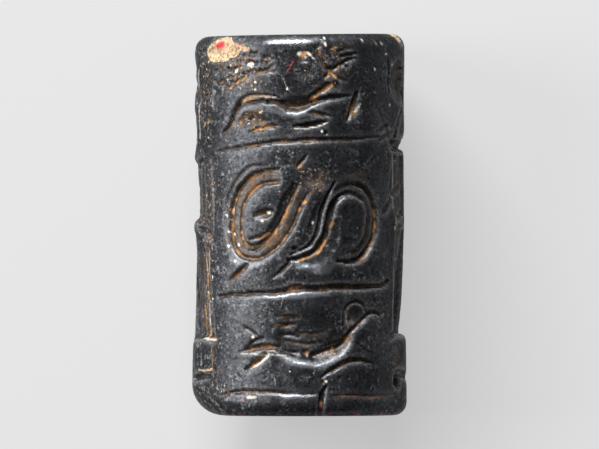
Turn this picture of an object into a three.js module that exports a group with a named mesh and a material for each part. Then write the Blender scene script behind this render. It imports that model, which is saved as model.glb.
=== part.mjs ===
// A stone cylinder seal, drilled lengthwise and carved all round, lying on its side.
// Millimetres, +Z up. The seal's axis runs along Y, and the top of its picture is towards +Y.
// The carving is laid out the way it rolls out on clay: "around" runs to the right on the clay
// and "up" runs from the seal's lower end. On the seal itself the picture is the other way round.

import * as THREE from "three";
import { SimplifyModifier } from "three/addons/modifiers/SimplifyModifier.js";
import { mergeVertices } from "three/addons/utils/BufferGeometryUtils.js";

// ---------------------------------------------------------------- driving dimensions

const sealLength = 25.0;
const lowerRadius = 7.05; // at the foot of the picture
const upperRadius = 6.87; // at the top of the picture
const waistWear = 0.08; // the middle is worn a little thinner than the ends
const pictureTurn = 43.35; // one turn of the picture on the clay
const boreRadius = 1.8; // halfway along
const boreMouthRadius = 2.15; // the drill wandered, so both mouths are wider
const rimRadius = 0.9; // rounding of both rims
const wornRimRadius = 2.1; // the lower rim, where it is worn most
const wornRimAround = 10.8; // where on the turn that is
const wornRimReach = 7.5; // and how far the wear spreads to each side
const upperEndSlope = 0.2; // the upper end is lower by this on its -X side
const flatHeight = 6.74; // from the axis down to the flat spot that it lies on

const columns = 480; // lattice lines round the seal
const rimRows = 6; // lattice rows on each rounded rim
const sideRows = 200; // on the carved side
const endRows = 3; // on each end face
const boreRows = 8; // down the bore
const keptTriangles = 9600; // flat stretches are thinned until this many are left

// ---------------------------------------------------------------- gravers and drills

const beds = []; // broad sunk areas
const cuts = []; // strokes and drillings, sunk below the stone or below the floor of a bed

const smoothStep = (share) => share * share * (3 - 2 * share);
const clamp01 = (value) => Math.min(1, Math.max(0, value));

// the section of every cut: a round floor under soft lips, for a distance off its middle from 0 to 1
const lipSoftness = 1.25;
const roundFloor = (off) => Math.max(0, 1 - (off / lipSoftness) ** 2) ** 1.6;

// the shorter way round from one place on the turn to another
function aroundBetween(from, to) {
  const gap = (to - from) % pictureTurn;
  if (gap > pictureTurn / 2) return gap - pictureTurn;
  if (gap < -pictureTurn / 2) return gap + pictureTurn;
  return gap;
}

function addTool(list, points, reach, depthAt) {
  const arounds = points.map((point) => point[0]);
  const ups = points.map((point) => point[1]);
  const middle = (Math.min(...arounds) + Math.max(...arounds)) / 2;
  const halfSpan = (Math.max(...arounds) - Math.min(...arounds)) / 2 + reach;
  list.push({
    middle,
    halfSpan,
    lowest: Math.min(...ups) - reach,
    highest: Math.max(...ups) + reach,
    depthAt,
  });
}

// distance to the nearest piece of a line, and how far along the line that is, from 0 to 1
function nearestOnLine(line, around, up) {
  let best = { distance: Infinity, along: 0 };
  for (let i = 0; i + 1 < line.length; i++) {
    const [a0, u0] = line[i];
    const [a1, u1] = line[i + 1];
    const lengthSquared = (a1 - a0) ** 2 + (u1 - u0) ** 2 || 1e-9;
    const share = clamp01(((around - a0) * (a1 - a0) + (up - u0) * (u1 - u0)) / lengthSquared);
    const distance = Math.hypot(around - a0 - share * (a1 - a0), up - u0 - share * (u1 - u0));
    if (distance < best.distance) best = { distance, along: (i + share) / (line.length - 1) };
  }
  return best;
}

function smoothLine(points) {
  if (points.length < 3) return points;
  const curve = new THREE.SplineCurve(points.map(([a, u]) => new THREE.Vector2(a, u)));
  return curve.getPoints(4 * (points.length - 1)).map((point) => [point.x, point.y]);
}

// a graver's stroke with a round floor; start and end are the shares of the width kept there
function stroke(width, depth, points, start = 1, end = 1) {
  const line = smoothLine(points);
  const swell = 0.35; // share of the length over which a thin end swells to the full width
  addTool(cuts, line, (lipSoftness * width) / 2, (around, up) => {
    const { distance, along } = nearestOnLine(line, around, up);
    const atStart = start + ((1 - start) * along) / swell;
    const atEnd = end + ((1 - end) * (1 - along)) / swell;
    const size = Math.min(1, atStart, atEnd);
    const off = distance / (0.5 * width * Math.max(size, 0.05));
    return depth * size * roundFloor(off);
  });
}

// a round or oval drilling, turned by an angle in degrees
function drilling(around, up, length, width, depth, turn = 0) {
  const angle = THREE.MathUtils.degToRad(turn);
  const [cos, sin] = [Math.cos(angle), Math.sin(angle)];
  addTool(cuts, [[around, up]], (lipSoftness * Math.max(length, width)) / 2, (a, u) => {
    const along = ((a - around) * cos + (u - up) * sin) / (length / 2);
    const across = ((u - up) * cos - (a - around) * sin) / (width / 2);
    return depth * roundFloor(Math.hypot(along, across));
  });
}

function ring(around, up, halfWidth, halfHeight, width, depth, from = 0, to = 360) {
  const steps = 16;
  const points = [];
  for (let i = 0; i <= steps; i++) {
    const angle = THREE.MathUtils.degToRad(from + ((to - from) * i) / steps);
    points.push([around + halfWidth * Math.cos(angle), up + halfHeight * Math.sin(angle)]);
  }
  stroke(width, depth, points);
}

function beadRow(points, spacing, size, depth) {
  const curve = new THREE.SplineCurve(points.map(([a, u]) => new THREE.Vector2(a, u)));
  const count = Math.round(curve.getLength() / spacing);
  for (const bead of curve.getSpacedPoints(count)) drilling(bead.x, bead.y, size, size, depth);
}

function insideOutline(outline, around, up) {
  let inside = false;
  outline.forEach(([a0, u0], i) => {
    const [a1, u1] = outline[(i + 1) % outline.length];
    if (u0 > up !== u1 > up && around < a0 + ((up - u0) * (a1 - a0)) / (u1 - u0)) inside = !inside;
  });
  return inside;
}

// a sunk area inside an outline, as deep as asked at its foot and at its head
function bed(outline, footDepth, headDepth, slopeWidth = 0.35) {
  const foot = Math.min(...outline.map((point) => point[1]));
  const head = Math.max(...outline.map((point) => point[1]));
  const closed = [...outline, outline[0]];
  addTool(beds, outline, 0, (around, up) => {
    if (!insideOutline(outline, around, up)) return 0;
    const edge = smoothStep(clamp01(nearestOnLine(closed, around, up).distance / slopeWidth));
    return edge * THREE.MathUtils.lerp(footDepth, headDepth, (up - foot) / (head - foot));
  });
}

function deepest(list, around, up) {
  let depth = 0;
  for (const tool of list) {
    if (up < tool.lowest || up > tool.highest) continue;
    const offset = aroundBetween(tool.middle, around);
    if (Math.abs(offset) > tool.halfSpan) continue;
    depth = Math.max(depth, tool.depthAt(tool.middle + offset, up));
  }
  return depth;
}

const carvedDepth = (around, up) => deepest(beds, around, up) + deepest(cuts, around, up);

// ---------------------------------------------------------------- the front column

const fineWidth = 0.3; // of the finest graver

function carveRegisterLines() {
  const upperLine = [[-5.9, 18.3], [-4, 18.15], [-2, 18.08], [0, 18.05], [1.6, 17.98], [2.6, 17.85]];
  stroke(0.36, 0.3, [...upperLine, [4, 17.68], [6.2, 17.4]]);
  const lowerLine = [[-6.8, 8.85], [-6.2, 8.55], [-5.2, 8.45], [-3, 8.45], [-1, 8.35], [0.4, 8.3]];
  stroke(0.46, 0.36, [...lowerLine, [1.6, 8.1], [3.2, 8.05], [4.6, 8.0], [5.9, 7.85]]);
  stroke(fineWidth, 0.16, [[-7.5, 1.4], [-4.6, 1.33], [-2.1, 1.38]]);
  stroke(fineWidth, 0.22, [[-1.0, 1.45], [1, 1.5], [2.5, 1.62], [4.5, 1.6], [5.6, 1.3]]);
  stroke(0.42, 0.34, [[-1.75, 2.0], [-1.5, 1.5], [-1.4, 0.9], [-1.4, 0.1]]);
}

function carveGoat() {
  const belly = [[-1.7, 20.65], [-0.6, 21.15], [0.6, 21.1], [1.4, 20.85], [1.6, 20.35], [0.9, 19.85]];
  bed([...belly, [0.1, 19.75], [-0.8, 20.1]], 0.52, 0.12, 0.45);
  stroke(0.5, 0.18, [[1.5, 20.5], [0.7, 20.35], [-0.2, 20.3], [-1.0, 20.6]], 0.5, 0.5);
  stroke(0.36, 0.48, [[4.15, 20.4], [3.4, 20.6], [2.4, 20.68], [1.6, 20.62], [0.9, 20.55]], 0.7, 0.6);
  stroke(0.44, 0.28, [[4.6, 20.1], [4.15, 20.6], [3.4, 20.9], [2.4, 21.0], [1.3, 20.85]], 0.8, 0.5);
  stroke(0.4, 0.34, [[-0.9, 20.5], [-1.6, 20.75], [-2.6, 20.9], [-3.5, 20.95]], 1, 0.5);
  stroke(0.6, 0.26, [[-0.8, 20.9], [-1.3, 21.2], [-1.9, 21.6]], 0.8, 0.9);
  stroke(0.42, 0.42, [[4.1, 20.5], [4.45, 20.15], [4.75, 19.7], [4.9, 19.3], [5.7, 18.55]], 1, 0.5);
  bed([[1.6, 19.3], [2.6, 20.1], [3.8, 20.2], [4.4, 19.6], [4.0, 18.9], [2.6, 18.7]], 0.16, 0.06, 0.5);
  stroke(0.34, 0.24, [[1.5, 19.0], [1.9, 19.02], [2.3, 18.9], [2.8, 18.8], [3.4, 18.66]], 0.6, 0.6);
  stroke(fineWidth, 0.28, [[-2.1, 19.6], [-1.4, 19.72], [-0.7, 19.88]], 0.4, 0.8);
  stroke(0.38, 0.42, [[-1.85, 19.28], [-0.9, 19.12], [0.4, 18.95]], 0.5, 0.6);
  stroke(0.5, 0.42, [[-3.95, 21.1], [-3.8, 20.5], [-3.55, 19.9], [-3.25, 19.35]], 0.8, 0.6);
  drilling(-2.5, 21.65, 0.8, 0.55, 0.2, 40);
  stroke(0.34, 0.3, [[-3.2, 21.9], [-2.4, 22.25], [-1.9, 22.7], [-1.5, 23.3], [-1.1, 24.3]], 0.5, 0.5);
  stroke(0.34, 0.32, [[-2.8, 23.1], [-2.2, 22.6], [-1.7, 22.2]], 0.5, 0.8);
  stroke(0.34, 0.3, [[-4.0, 23.42], [-3.3, 23.25], [-2.8, 23.0]], 0.4, 1);
  stroke(fineWidth, 0.2, [[-3.9, 24.0], [-3.3, 24.0], [-2.6, 23.85]], 0.4, 1);
}

function carveLeafSpray() {
  stroke(0.38, 0.22, [[1.9, 22.75], [2.4, 22.62], [2.9, 22.55]], 0.5, 0.8);
  drilling(2.2, 23.5, 0.7, 0.4, 0.18, -10);
  drilling(3.3, 23.2, 1.1, 0.4, 0.22, 8);
  drilling(4.5, 22.75, 0.7, 0.4, 0.24, -45);
  stroke(0.34, 0.2, [[3.5, 22.5], [3.9, 22.15], [4.3, 22.0], [4.9, 21.7]], 0.6, 0.7);
  drilling(5.75, 21.95, 0.6, 0.4, 0.22, -15);
  drilling(5.0, 21.55, 0.5, 0.35, 0.2, -30);
  stroke(0.34, 0.24, [[6.45, 21.4], [6.5, 20.7], [6.45, 20.1]], 0.5, 0.5);
}

// a strand of the plait: a shallow trough with a groove along each of its edges
function strand(width, depth, points, edgeWidth, edgeDepth) {
  const line = smoothLine(points);
  const shoulder = 0.3;
  addTool(cuts, line, width / 2 + shoulder, (around, up) => {
    const { distance } = nearestOnLine(line, around, up);
    const trough = clamp01((width / 2 - distance) / shoulder + 0.5);
    const groove = roundFloor((distance - width / 2 + edgeWidth / 2) / (edgeWidth / 2));
    return depth * trough + edgeDepth * groove;
  });
}

// three bosses wound round by a plaited band
function carveGuilloche() {
  bed([[-2.2, 14.9], [-1.8, 16.1], [-0.4, 16.2], [0.7, 15.4], [0.6, 14.4], [-0.8, 14.7]], 0.14, 0.08, 0.7);
  carveRightBoss();
  carveLeftBoss();
  stroke(0.8, 0.14, [[-1.9, 14.6], [-1.3, 13.6], [-0.95, 12.6], [-0.5, 11.6], [0.1, 10.9]], 0.5, 0.5);
  drilling(0.3, 11.0, 0.6, 0.4, 0.34);
  stroke(fineWidth, 0.22, [[-0.55, 17.15], [-0.25, 16.8], [0.1, 16.4]], 0.5, 1);
  stroke(0.4, 0.38, [[3.6, 9.95], [4.3, 9.4], [5.15, 8.8]], 0.8, 0.5);
  stroke(fineWidth, 0.28, [[0.7, 10.0], [1.2, 9.55], [1.7, 9.05]], 1, 0.5);
}

// the strand comes down the slope of the boss from the middle and winds round it
function carveRightBoss() {
  const descent = [[-0.45, 15.1], [0.1, 14.2], [0.45, 13.5], [0.8, 12.7], [1.25, 12.0], [1.9, 11.3]];
  const foot = [[2.7, 10.8], [3.6, 10.75], [4.25, 11.2], [4.55, 12.0], [4.55, 13.1], [4.3, 14.1]];
  strand(1.06, 0.3, [...descent, ...foot, [3.75, 14.9], [2.9, 15.5], [2.0, 15.7], [1.1, 15.7]], 0.26, 0.16);
  stroke(1.1, 0.3, [[0.3, 15.1], [0.7, 14.3], [1.0, 13.5], [1.45, 12.7], [2.0, 12.0]], 0.5, 0.6);
  stroke(0.36, 0.48, [[0.5, 14.5], [0.8, 13.8], [1.1, 13.2], [1.5, 12.5], [2.0, 11.9]], 0.6, 0.6);
  stroke(0.34, 0.46, [[2.0, 11.6], [2.6, 11.1], [3.3, 10.85], [3.9, 11.0]], 0.6, 0.6);
  stroke(0.34, 0.24, [[1.6, 12.0], [2.4, 11.85], [3.4, 11.55]], 0.6, 0.6);
  drilling(2.35, 13.3, 1.7, 0.75, 0.34, -10);
}

// the other strand runs down between the bosses and winds round the left one
function carveLeftBoss() {
  const head = [[-2.4, 14.3], [-2.9, 14.8], [-3.7, 14.9], [-4.6, 14.6], [-5.15, 13.8], [-5.3, 12.9]];
  strand(0.8, 0.18, [...head, [-5.1, 11.9], [-4.7, 11.2], [-4.0, 10.55], [-3.2, 10.4]], 0.26, 0.06);
  stroke(0.36, 0.42, [[-2.9, 14.95], [-3.6, 15.2], [-4.5, 15.0], [-5.2, 14.35], [-5.6, 13.5]], 0.5, 1);
  stroke(0.36, 0.4, [[-5.6, 13.5], [-5.7, 12.6], [-5.5, 11.7], [-5.05, 10.95]]);
  stroke(0.44, 0.52, [[-5.1, 11.05], [-4.5, 10.45], [-3.8, 10.12], [-2.5, 10.15]], 1, 0.5);
  const innerEdge = [[-4.6, 14.1], [-4.88, 12.8], [-4.65, 11.7], [-4.2, 11.05], [-3.2, 10.7]];
  stroke(fineWidth, 0.26, innerEdge, 0.8, 0.6);
  stroke(1.4, 0.2, [[-2.4, 12.6], [-2.05, 11.7], [-1.65, 10.95], [-1.0, 10.4], [0.2, 10.05]], 0.5, 0.6);
  const bossFoot = [[0.7, 10.2], [0.0, 10.35], [-0.9, 10.7], [-1.45, 11.3], [-1.75, 11.9], [-1.98, 12.8]];
  stroke(0.52, 0.5, [...bossFoot, [-2.25, 13.8], [-2.8, 14.42], [-3.7, 14.6], [-4.6, 14.1]], 0.6, 0.6);
  const leafEdge = [[-2.4, 15.3], [-1.98, 14.6], [-1.66, 14.0], [-1.38, 13.1], [-1.2, 12.2]];
  stroke(0.34, 0.44, [...leafEdge, [-0.85, 11.4], [-0.3, 10.95], [0.6, 10.6]], 0.6, 0.6);
}

function carveBird() {
  const back = [[-3.5, 5.6], [-3.1, 6.6], [-2.0, 7.4], [0.2, 7.2], [1.5, 6.3], [1.8, 5.2], [1.7, 4.5]];
  const belly = [[1.3, 3.95], [0.4, 3.5], [-1.0, 3.2], [-2.2, 3.5], [-3.2, 4.05], [-3.75, 4.8]];
  bed([...back, ...belly], 0.58, 0.02, 0.62);
  stroke(0.46, 0.22, [[-3.4, 5.3], [-3.05, 4.75], [-2.4, 4.45], [-1.5, 4.2], [-0.9, 4.0]]);
  stroke(fineWidth, 0.2, [[0.2, 6.05], [0.9, 6.0], [1.7, 5.95]], 0.6, 0.5);
  stroke(fineWidth, 0.16, [[-1.6, 4.9], [-0.8, 4.75], [0.1, 4.85], [1.0, 5.0]], 0.7, 0.7);
  stroke(0.34, 0.2, [[0.0, 5.2], [0.6, 5.4], [1.1, 5.35]], 0.7, 0.7);
  drilling(-3.9, 6.6, 1.5, 1.3, 0.26, 20);
  const crown = [[-4.75, 6.8], [-4.45, 7.3], [-3.9, 7.5], [-3.35, 7.3], [-3.05, 6.8]];
  stroke(fineWidth, 0.22, [...crown, [-3.2, 5.6]]);
  const beak = [[-6.0, 6.2], [-5.85, 6.65], [-5.4, 6.8], [-4.9, 6.65], [-4.4, 6.2], [-3.8, 5.8]];
  stroke(0.34, 0.34, [...beak, [-3.45, 5.4], [-3.35, 5.0]], 0.5, 1);
  stroke(0.5, 0.42, [[1.4, 4.5], [2.4, 4.55], [3.2, 4.45], [4.15, 4.2]], 0.7, 0.25);
  stroke(0.34, 0.26, [[2.4, 5.1], [3.0, 4.95], [3.7, 4.5]], 0.6, 0.4);
  stroke(fineWidth, 0.16, [[2.9, 5.3], [3.4, 5.6], [4.0, 6.0]], 1, 0.3);
  stroke(0.46, 0.44, [[2.3, 4.0], [2.9, 3.6], [3.6, 3.05]], 0.9, 0.5);
  stroke(0.42, 0.36, [[-5.2, 3.45], [-4.4, 3.65], [-3.5, 3.68], [-2.8, 3.4], [-1.4, 2.55]], 0.4, 0.5);
}

// ---------------------------------------------------------------- the robed figure with a staff

function carveRobedFigure() {
  drilling(-8.7, 21.9, 2.9, 2.9, 0.45);
  stroke(fineWidth, 0.22, [[-9.9, 22.75], [-8.4, 22.5]]);
  stroke(fineWidth, 0.22, [[-9.9, 22.05], [-8.8, 21.8]]);
  drilling(-10.2, 20.9, 1.1, 1.5, 0.35);
  stroke(0.45, 0.3, [[-9.4, 20.0], [-8.4, 19.0], [-7.9, 17.9]]);
  stroke(0.9, 0.8, [[-13.2, 17.0], [-11.5, 17.8], [-10, 17.6], [-7.7, 17.75]], 0.6, 1);
  stroke(0.34, 0.3, [[-7.05, 23.35], [-7.08, 22.2], [-7.05, 21.1]], 0.6, 0.6);
  stroke(fineWidth, 0.2, [[-6.8, 19.0], [-6.1, 18.7]]);
  stroke(fineWidth, 0.2, [[-6.9, 18.4], [-6.1, 18.1]]);
  stroke(0.35, 0.28, [[-12.7, 22.3], [-12.3, 20.8], [-12.3, 19.2], [-12.8, 18.2]]);
  stroke(0.35, 0.24, [[-13.5, 20.6], [-13.1, 19.8]]);
  stroke(0.35, 0.24, [[-13.7, 18.3], [-13, 18.6]]);
  bed([[-10.9, 17.2], [-7.6, 17.4], [-6.9, 14.4], [-8.6, 12.4], [-11.2, 12.9]], 0.2, 0.3);
  stroke(0.5, 0.25, [[-9.5, 14.9], [-8.3, 14.6], [-7, 13.8], [-6.5, 13.4]]);
  stroke(fineWidth, 0.2, [[-10.9, 13.4], [-9.9, 13.25], [-9.0, 12.95]]);
  stroke(fineWidth, 0.2, [[-11.2, 12.85], [-9.8, 12.6], [-8.5, 12.25]]);
  beadRow([[-11.2, 12.3], [-11.7, 10], [-12.25, 7.5]], 0.55, 0.38, 0.16);
  bed([[-11.2, 12.5], [-8.0, 12.3], [-7.7, 9], [-7.6, 5.2], [-13.4, 5.2], [-12.4, 7.0]], 1.0, 0.15);
  stroke(0.3, 0.12, [[-12.3, 6.95], [-10.4, 6.95], [-8.1, 6.95]]);
  for (const around of [-12.3, -11.7, -11.05, -10.3, -9.5, -8.8, -8.2]) {
    stroke(fineWidth, 0.14, [[around, 6.9], [around - 0.1, 5.6]]);
  }
  stroke(0.4, 0.3, [[-8.0, 5.4], [-7.4, 5.25], [-6.9, 5.1]], 1, 0.4);
  carveMantleEdge(-15.3, 5.7, 11.3);
  stroke(0.4, 0.3, [[-14.4, 7.2], [-13.7, 7.05], [-13.0, 6.95]]);
  stroke(0.6, 0.45, [[-16, 2.25], [-14.6, 2.6], [-13.2, 2.75]], 0.5, 1);
  stroke(0.6, 0.45, [[-11.6, 2.4], [-9.7, 2.7], [-8, 2.75], [-7.6, 2.2]], 0.5, 0.8);
  drilling(-8.1, 2.2, 0.9, 1.1, 0.5);
  drilling(-13.6, 14.3, 2.9, 0.8, 0.42, -7);
}

// a fringe of slanting notches that meet in a row of Vs
function carveMantleEdge(around, foot, head) {
  const halfWidth = 0.8;
  const spacing = 0.6;
  for (let up = foot; up <= head; up += spacing) {
    stroke(fineWidth, 0.24, [[around - halfWidth, up + 0.35], [around, up]], 0.5, 1);
    stroke(fineWidth, 0.24, [[around, up], [around + halfWidth, up + 0.35]], 1, 0.5);
  }
}

// ---------------------------------------------------------------- the figure in the tall hat

function carveFigureInTallHat() {
  drilling(-20.1, 21.4, 1.9, 2.4, 0.42);
  bed([[-20.7, 21.6], [-18.3, 21.6], [-18.3, 24.1], [-20.5, 24.1]], 0.35, 0.25);
  stroke(0.45, 0.3, [[-20.3, 20.4], [-20.0, 19.6], [-19.4, 18.8]]);
  stroke(0.5, 0.34, [[-22.3, 19.15], [-21.2, 18.85], [-20.2, 18.7]], 0.5, 1);
  stroke(0.7, 0.45, [[-20, 18.75], [-17.8, 19.4], [-16.4, 19.1], [-14.9, 18.6]]);
  stroke(fineWidth, 0.2, [[-18.5, 20.35], [-17, 20.15], [-15.5, 19.9]]);
  bed([[-20.9, 18.6], [-15.3, 18.4], [-18.1, 14.2], [-20, 13.8]], 0.2, 0.22);
  stroke(fineWidth, 0.25, [[-15.2, 18.1], [-17, 16], [-18.1, 14.6]]);
  beadRow([[-21, 18.5], [-20.7, 15.6], [-19.7, 14]], 0.5, 0.34, 0.18);
  stroke(fineWidth, 0.14, [[-20.9, 18.3], [-20.3, 17.8], [-19.7, 18.3]]);
  stroke(0.35, 0.22, [[-22.4, 16.5], [-20.9, 16.45]]);
  stroke(fineWidth, 0.2, [[-21.2, 11.9], [-20, 12.05], [-18.8, 12.15]]);
  bed([[-21.0, 13.9], [-18.2, 14.1], [-17.2, 9], [-17.3, 3.2], [-22.6, 3.2], [-21.6, 9]], 0.22, 0.16);
  stroke(0.9, 0.22, [[-21, 11], [-21.3, 7.5], [-21.7, 4.5], [-22.3, 2.6]], 0.6, 0.8);
  stroke(0.42, 0.32, [[-24.3, 1.75], [-22.5, 2.1]], 0.5, 1);
  const fringeTop = 8.3;
  const fringeSpacing = 0.6;
  for (let bar = 0; bar < 7; bar++) {
    const up = fringeTop - fringeSpacing * bar;
    stroke(fineWidth, 0.16, [[-19.45 - 0.04 * bar, up], [-18.75 - 0.04 * bar, up]]);
  }
  stroke(0.4, 0.16, [[-17.7, 12], [-17.6, 8], [-17.9, 3.2]]);
  stroke(0.5, 0.4, [[-20.7, 2.6], [-19, 2.9], [-17.5, 2.7], [-16.3, 2.1]], 0.5, 0.5);
}

// ---------------------------------------------------------------- star, staff and kneeling figure

function carveStar() {
  const centre = [-26.1, 22.5];
  const rays = 8;
  for (let ray = 0; ray < rays; ray++) {
    const angle = (2 * Math.PI * ray) / rays + Math.PI / 2;
    const reach = ray % 2 === 0 ? 1.6 : 1.45;
    const tip = [centre[0] + reach * Math.cos(angle), centre[1] + 0.85 * reach * Math.sin(angle)];
    const root = [centre[0] + 0.3 * Math.cos(angle), centre[1] + 0.3 * Math.sin(angle)];
    stroke(0.4, 0.26, [root, tip], 0.6, 0.3);
  }
  stroke(fineWidth, 0.18, [[-24.6, 21.2], [-22, 21.1]]);
  stroke(1.1, 0.6, [[-27.0, 19.1], [-24.9, 17.5], [-22.7, 15.9]], 0.6, 0.6);
  drilling(-23.5, 18.6, 0.5, 0.5, 0.25);
}

function carveKneelingFigure() {
  drilling(-26.7, 15.2, 1.6, 1.6, 0.45);
  stroke(fineWidth, 0.2, [[-26, 16.0], [-25.5, 16.2]]);
  stroke(fineWidth, 0.2, [[-27.8, 16.1], [-27.4, 15.7]]);
  stroke(fineWidth, 0.2, [[-28.1, 15.4], [-27.4, 15.0]]);
  stroke(fineWidth, 0.2, [[-26.3, 15.2], [-24.6, 14.4], [-23.3, 14.7]]);
  drilling(-27.9, 13.7, 0.4, 0.35, 0.2);
  drilling(-27.9, 13.2, 0.4, 0.35, 0.2);
  stroke(0.65, 0.42, [[-29.8, 12.2], [-28, 11.8], [-26.3, 11.7], [-25.2, 11.0], [-24.6, 10.5]], 0.5, 0.6);
  stroke(0.9, 0.32, [[-27.4, 14.3], [-27.8, 11.5], [-28.2, 9.8], [-28.7, 8.3]]);
  stroke(0.95, 0.6, [[-28.8, 7.6], [-27, 7.75], [-25.2, 7.6]]);
  stroke(0.6, 0.45, [[-25.3, 7.2], [-25.9, 6.1], [-26.5, 5.0]]);
  stroke(0.7, 0.48, [[-27, 4.1], [-25.8, 4.05], [-24.5, 3.5]], 0.6, 0.6);
  stroke(fineWidth, 0.2, [[-28.5, 2.9], [-27.8, 2.5], [-26.9, 3.3]]);
  stroke(fineWidth, 0.2, [[-30.1, 7.6], [-30, 6.9], [-29.3, 6.4], [-28.3, 6.2]]);
  drilling(-30.3, 8.5, 0.4, 0.4, 0.2);
  drilling(-30.4, 7.8, 0.4, 0.4, 0.2);
  stroke(fineWidth, 0.2, [[-30.3, 10.9], [-29.7, 10.3]]);
  stroke(fineWidth, 0.24, [[-28.6, 15.8], [-29.2, 14.3], [-29.7, 12.9]]);
}

// ---------------------------------------------------------------- the figure in the brimmed hat

function carveFigureInBrimmedHat() {
  drilling(-32.8, 21.7, 5.1, 1.5, 0.34, 25);
  drilling(-32.6, 22.9, 2.2, 1.5, 0.28);
  drilling(-32.6, 18.6, 2.7, 2.9, 0.34);
  ring(-32.0, 19.7, 0.35, 0.25, 0.2, 0.1);
  stroke(0.38, 0.3, [[-35.5, 16.7], [-34.7, 16.85], [-33.6, 16.2]], 0.5, 1);
  bed([[-34.9, 16.9], [-30.3, 16.9], [-29.9, 12.9], [-34.9, 12.5]], 0.35, 0.2);
  stroke(fineWidth, 0.18, [[-31.5, 15.5], [-30.8, 15.75], [-30.2, 15.4]]);
  for (let rib = 0; rib < 4; rib++) {
    const up = 13.2 + 0.55 * rib;
    stroke(fineWidth, 0.14, [[-33.1, up], [-32.3, up + 0.12], [-31.4, up]]);
  }
  stroke(0.5, 0.36, [[-36.6, 11.75], [-36.0, 12.05], [-34.4, 12.35]], 0.5, 1);
  stroke(0.5, 0.36, [[-31.9, 13.1], [-30.8, 12.9], [-29.7, 12.6]], 1, 0.5);
  bed([[-35.7, 12.2], [-30.9, 12.4], [-31.4, 8], [-31.6, 4.9], [-37.0, 4.9], [-36.6, 8]], 0.5, 0.08);
  for (const around of [-36.2, -35.5, -34.8, -33.9, -33.0, -32.2]) {
    const lean = 0.07 * (around + 33.7);
    stroke(fineWidth, 0.14, [[around - 2 * lean, 11.0], [around, 7.5], [around + lean, 5.3]]);
  }
  stroke(0.36, 0.26, [[-37.3, 4.95], [-36.9, 5.05], [-36.4, 5.1]], 0.5, 1);
  stroke(0.5, 0.38, [[-36.6, 2.6], [-35.2, 2.6], [-33.7, 2.45]], 0.5, 1);
  stroke(0.45, 0.36, [[-31.7, 2.2], [-31.0, 2.4], [-29.3, 2.1]], 0.7, 0.5);
}

// old knocks: the rims have lost flakes
function chipRims() {
  drilling(6.1, 24.1, 3.0, 1.7, 0.34, -14);
  drilling(4.5, 24.1, 2.1, 0.9, 0.2, 8);
  drilling(11.85, 25.2, 3.4, 2.0, 0.7);
  drilling(-9.4, 24.9, 2.0, 1.0, 0.3);
  drilling(-17.6, 0.1, 2.6, 1.2, 0.35);
}

carveRegisterLines();
carveGoat();
carveLeafSpray();
carveGuilloche();
carveBird();
carveRobedFigure();
carveFigureInTallHat();
carveStar();
carveKneelingFigure();
carveFigureInBrimmedHat();
chipRims();

// ---------------------------------------------------------------- the worn stone

const outerRadiusAt = (up) => {
  const share = up / sealLength;
  const waist = waistWear * Math.sin(Math.PI * clamp01(share));
  return THREE.MathUtils.lerp(lowerRadius, upperRadius, share) - waist;
};

// how far the rounding of a rim draws the side in, close to an end
const rimInset = (radius, toEnd) =>
  toEnd < radius ? radius - Math.sqrt(Math.max(0, radius ** 2 - (radius - toEnd) ** 2)) : 0;

const boreRadiusAt = (up) => {
  const fromMiddle = Math.abs(2 * up / sealLength - 1);
  return boreRadius + (boreMouthRadius - boreRadius) * fromMiddle ** 3;
};

// the section that is turned: up the outside, in over the upper end, down the bore, and back out
function sectionPoints() {
  const points = [];
  for (let row = 0; row < rimRows; row++) {
    const up = rimRadius * (1 - Math.cos((Math.PI / 2) * (row / rimRows)));
    points.push(new THREE.Vector2(outerRadiusAt(up) - rimInset(rimRadius, up), up));
  }
  for (let row = 0; row < sideRows; row++) {
    const up = THREE.MathUtils.lerp(rimRadius, sealLength - rimRadius, row / sideRows);
    points.push(new THREE.Vector2(outerRadiusAt(up), up));
  }
  for (let row = 0; row < rimRows; row++) {
    const toEnd = rimRadius * (1 - Math.sin((Math.PI / 2) * (row / rimRows)));
    const up = sealLength - toEnd;
    points.push(new THREE.Vector2(outerRadiusAt(up) - rimInset(rimRadius, toEnd), up));
  }
  for (let row = 0; row < endRows; row++) {
    const radius = THREE.MathUtils.lerp(upperRadius - rimRadius, boreMouthRadius, row / endRows);
    points.push(new THREE.Vector2(radius, sealLength));
  }
  for (let row = 0; row < boreRows; row++) {
    const up = sealLength * (1 - row / boreRows);
    points.push(new THREE.Vector2(boreRadiusAt(up), up));
  }
  for (let row = 0; row <= endRows; row++) {
    const radius = THREE.MathUtils.lerp(boreMouthRadius, lowerRadius - rimRadius, row / endRows);
    points.push(new THREE.Vector2(radius, 0));
  }
  return points;
}

// a point of the turned stone, carved and worn; angle runs from +Z towards +X
function wornPoint(angle, radius, up) {
  const around = (-angle / (2 * Math.PI)) * pictureTurn;
  let worn = radius;
  if (radius > boreMouthRadius + 0.01) {
    const nearWear = Math.abs(aroundBetween(wornRimAround, around)) / wornRimReach;
    const extra = smoothStep(clamp01(1 - nearWear)) * (wornRimRadius - rimRadius);
    const limit = outerRadiusAt(up) - rimInset(rimRadius + extra, up);
    worn = Math.min(worn, limit);
    if (radius > lowerRadius - 2 * rimRadius) worn -= carvedDepth(around, up);
  }
  const x = worn * Math.sin(angle);
  const lift = (upperEndSlope / 2) * (x / upperRadius - 1) * (up / sealLength);
  return new THREE.Vector3(x, up + lift, worn * Math.cos(angle) + flatHeight);
}

// ---------------------------------------------------------------- the solid

// what would be lower than the ground is rubbed down to a flat spot
function layOnFlat(position) {
  for (let i = 0; i < position.count; i++) position.setZ(i, Math.max(0, position.getZ(i)));
}

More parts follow.
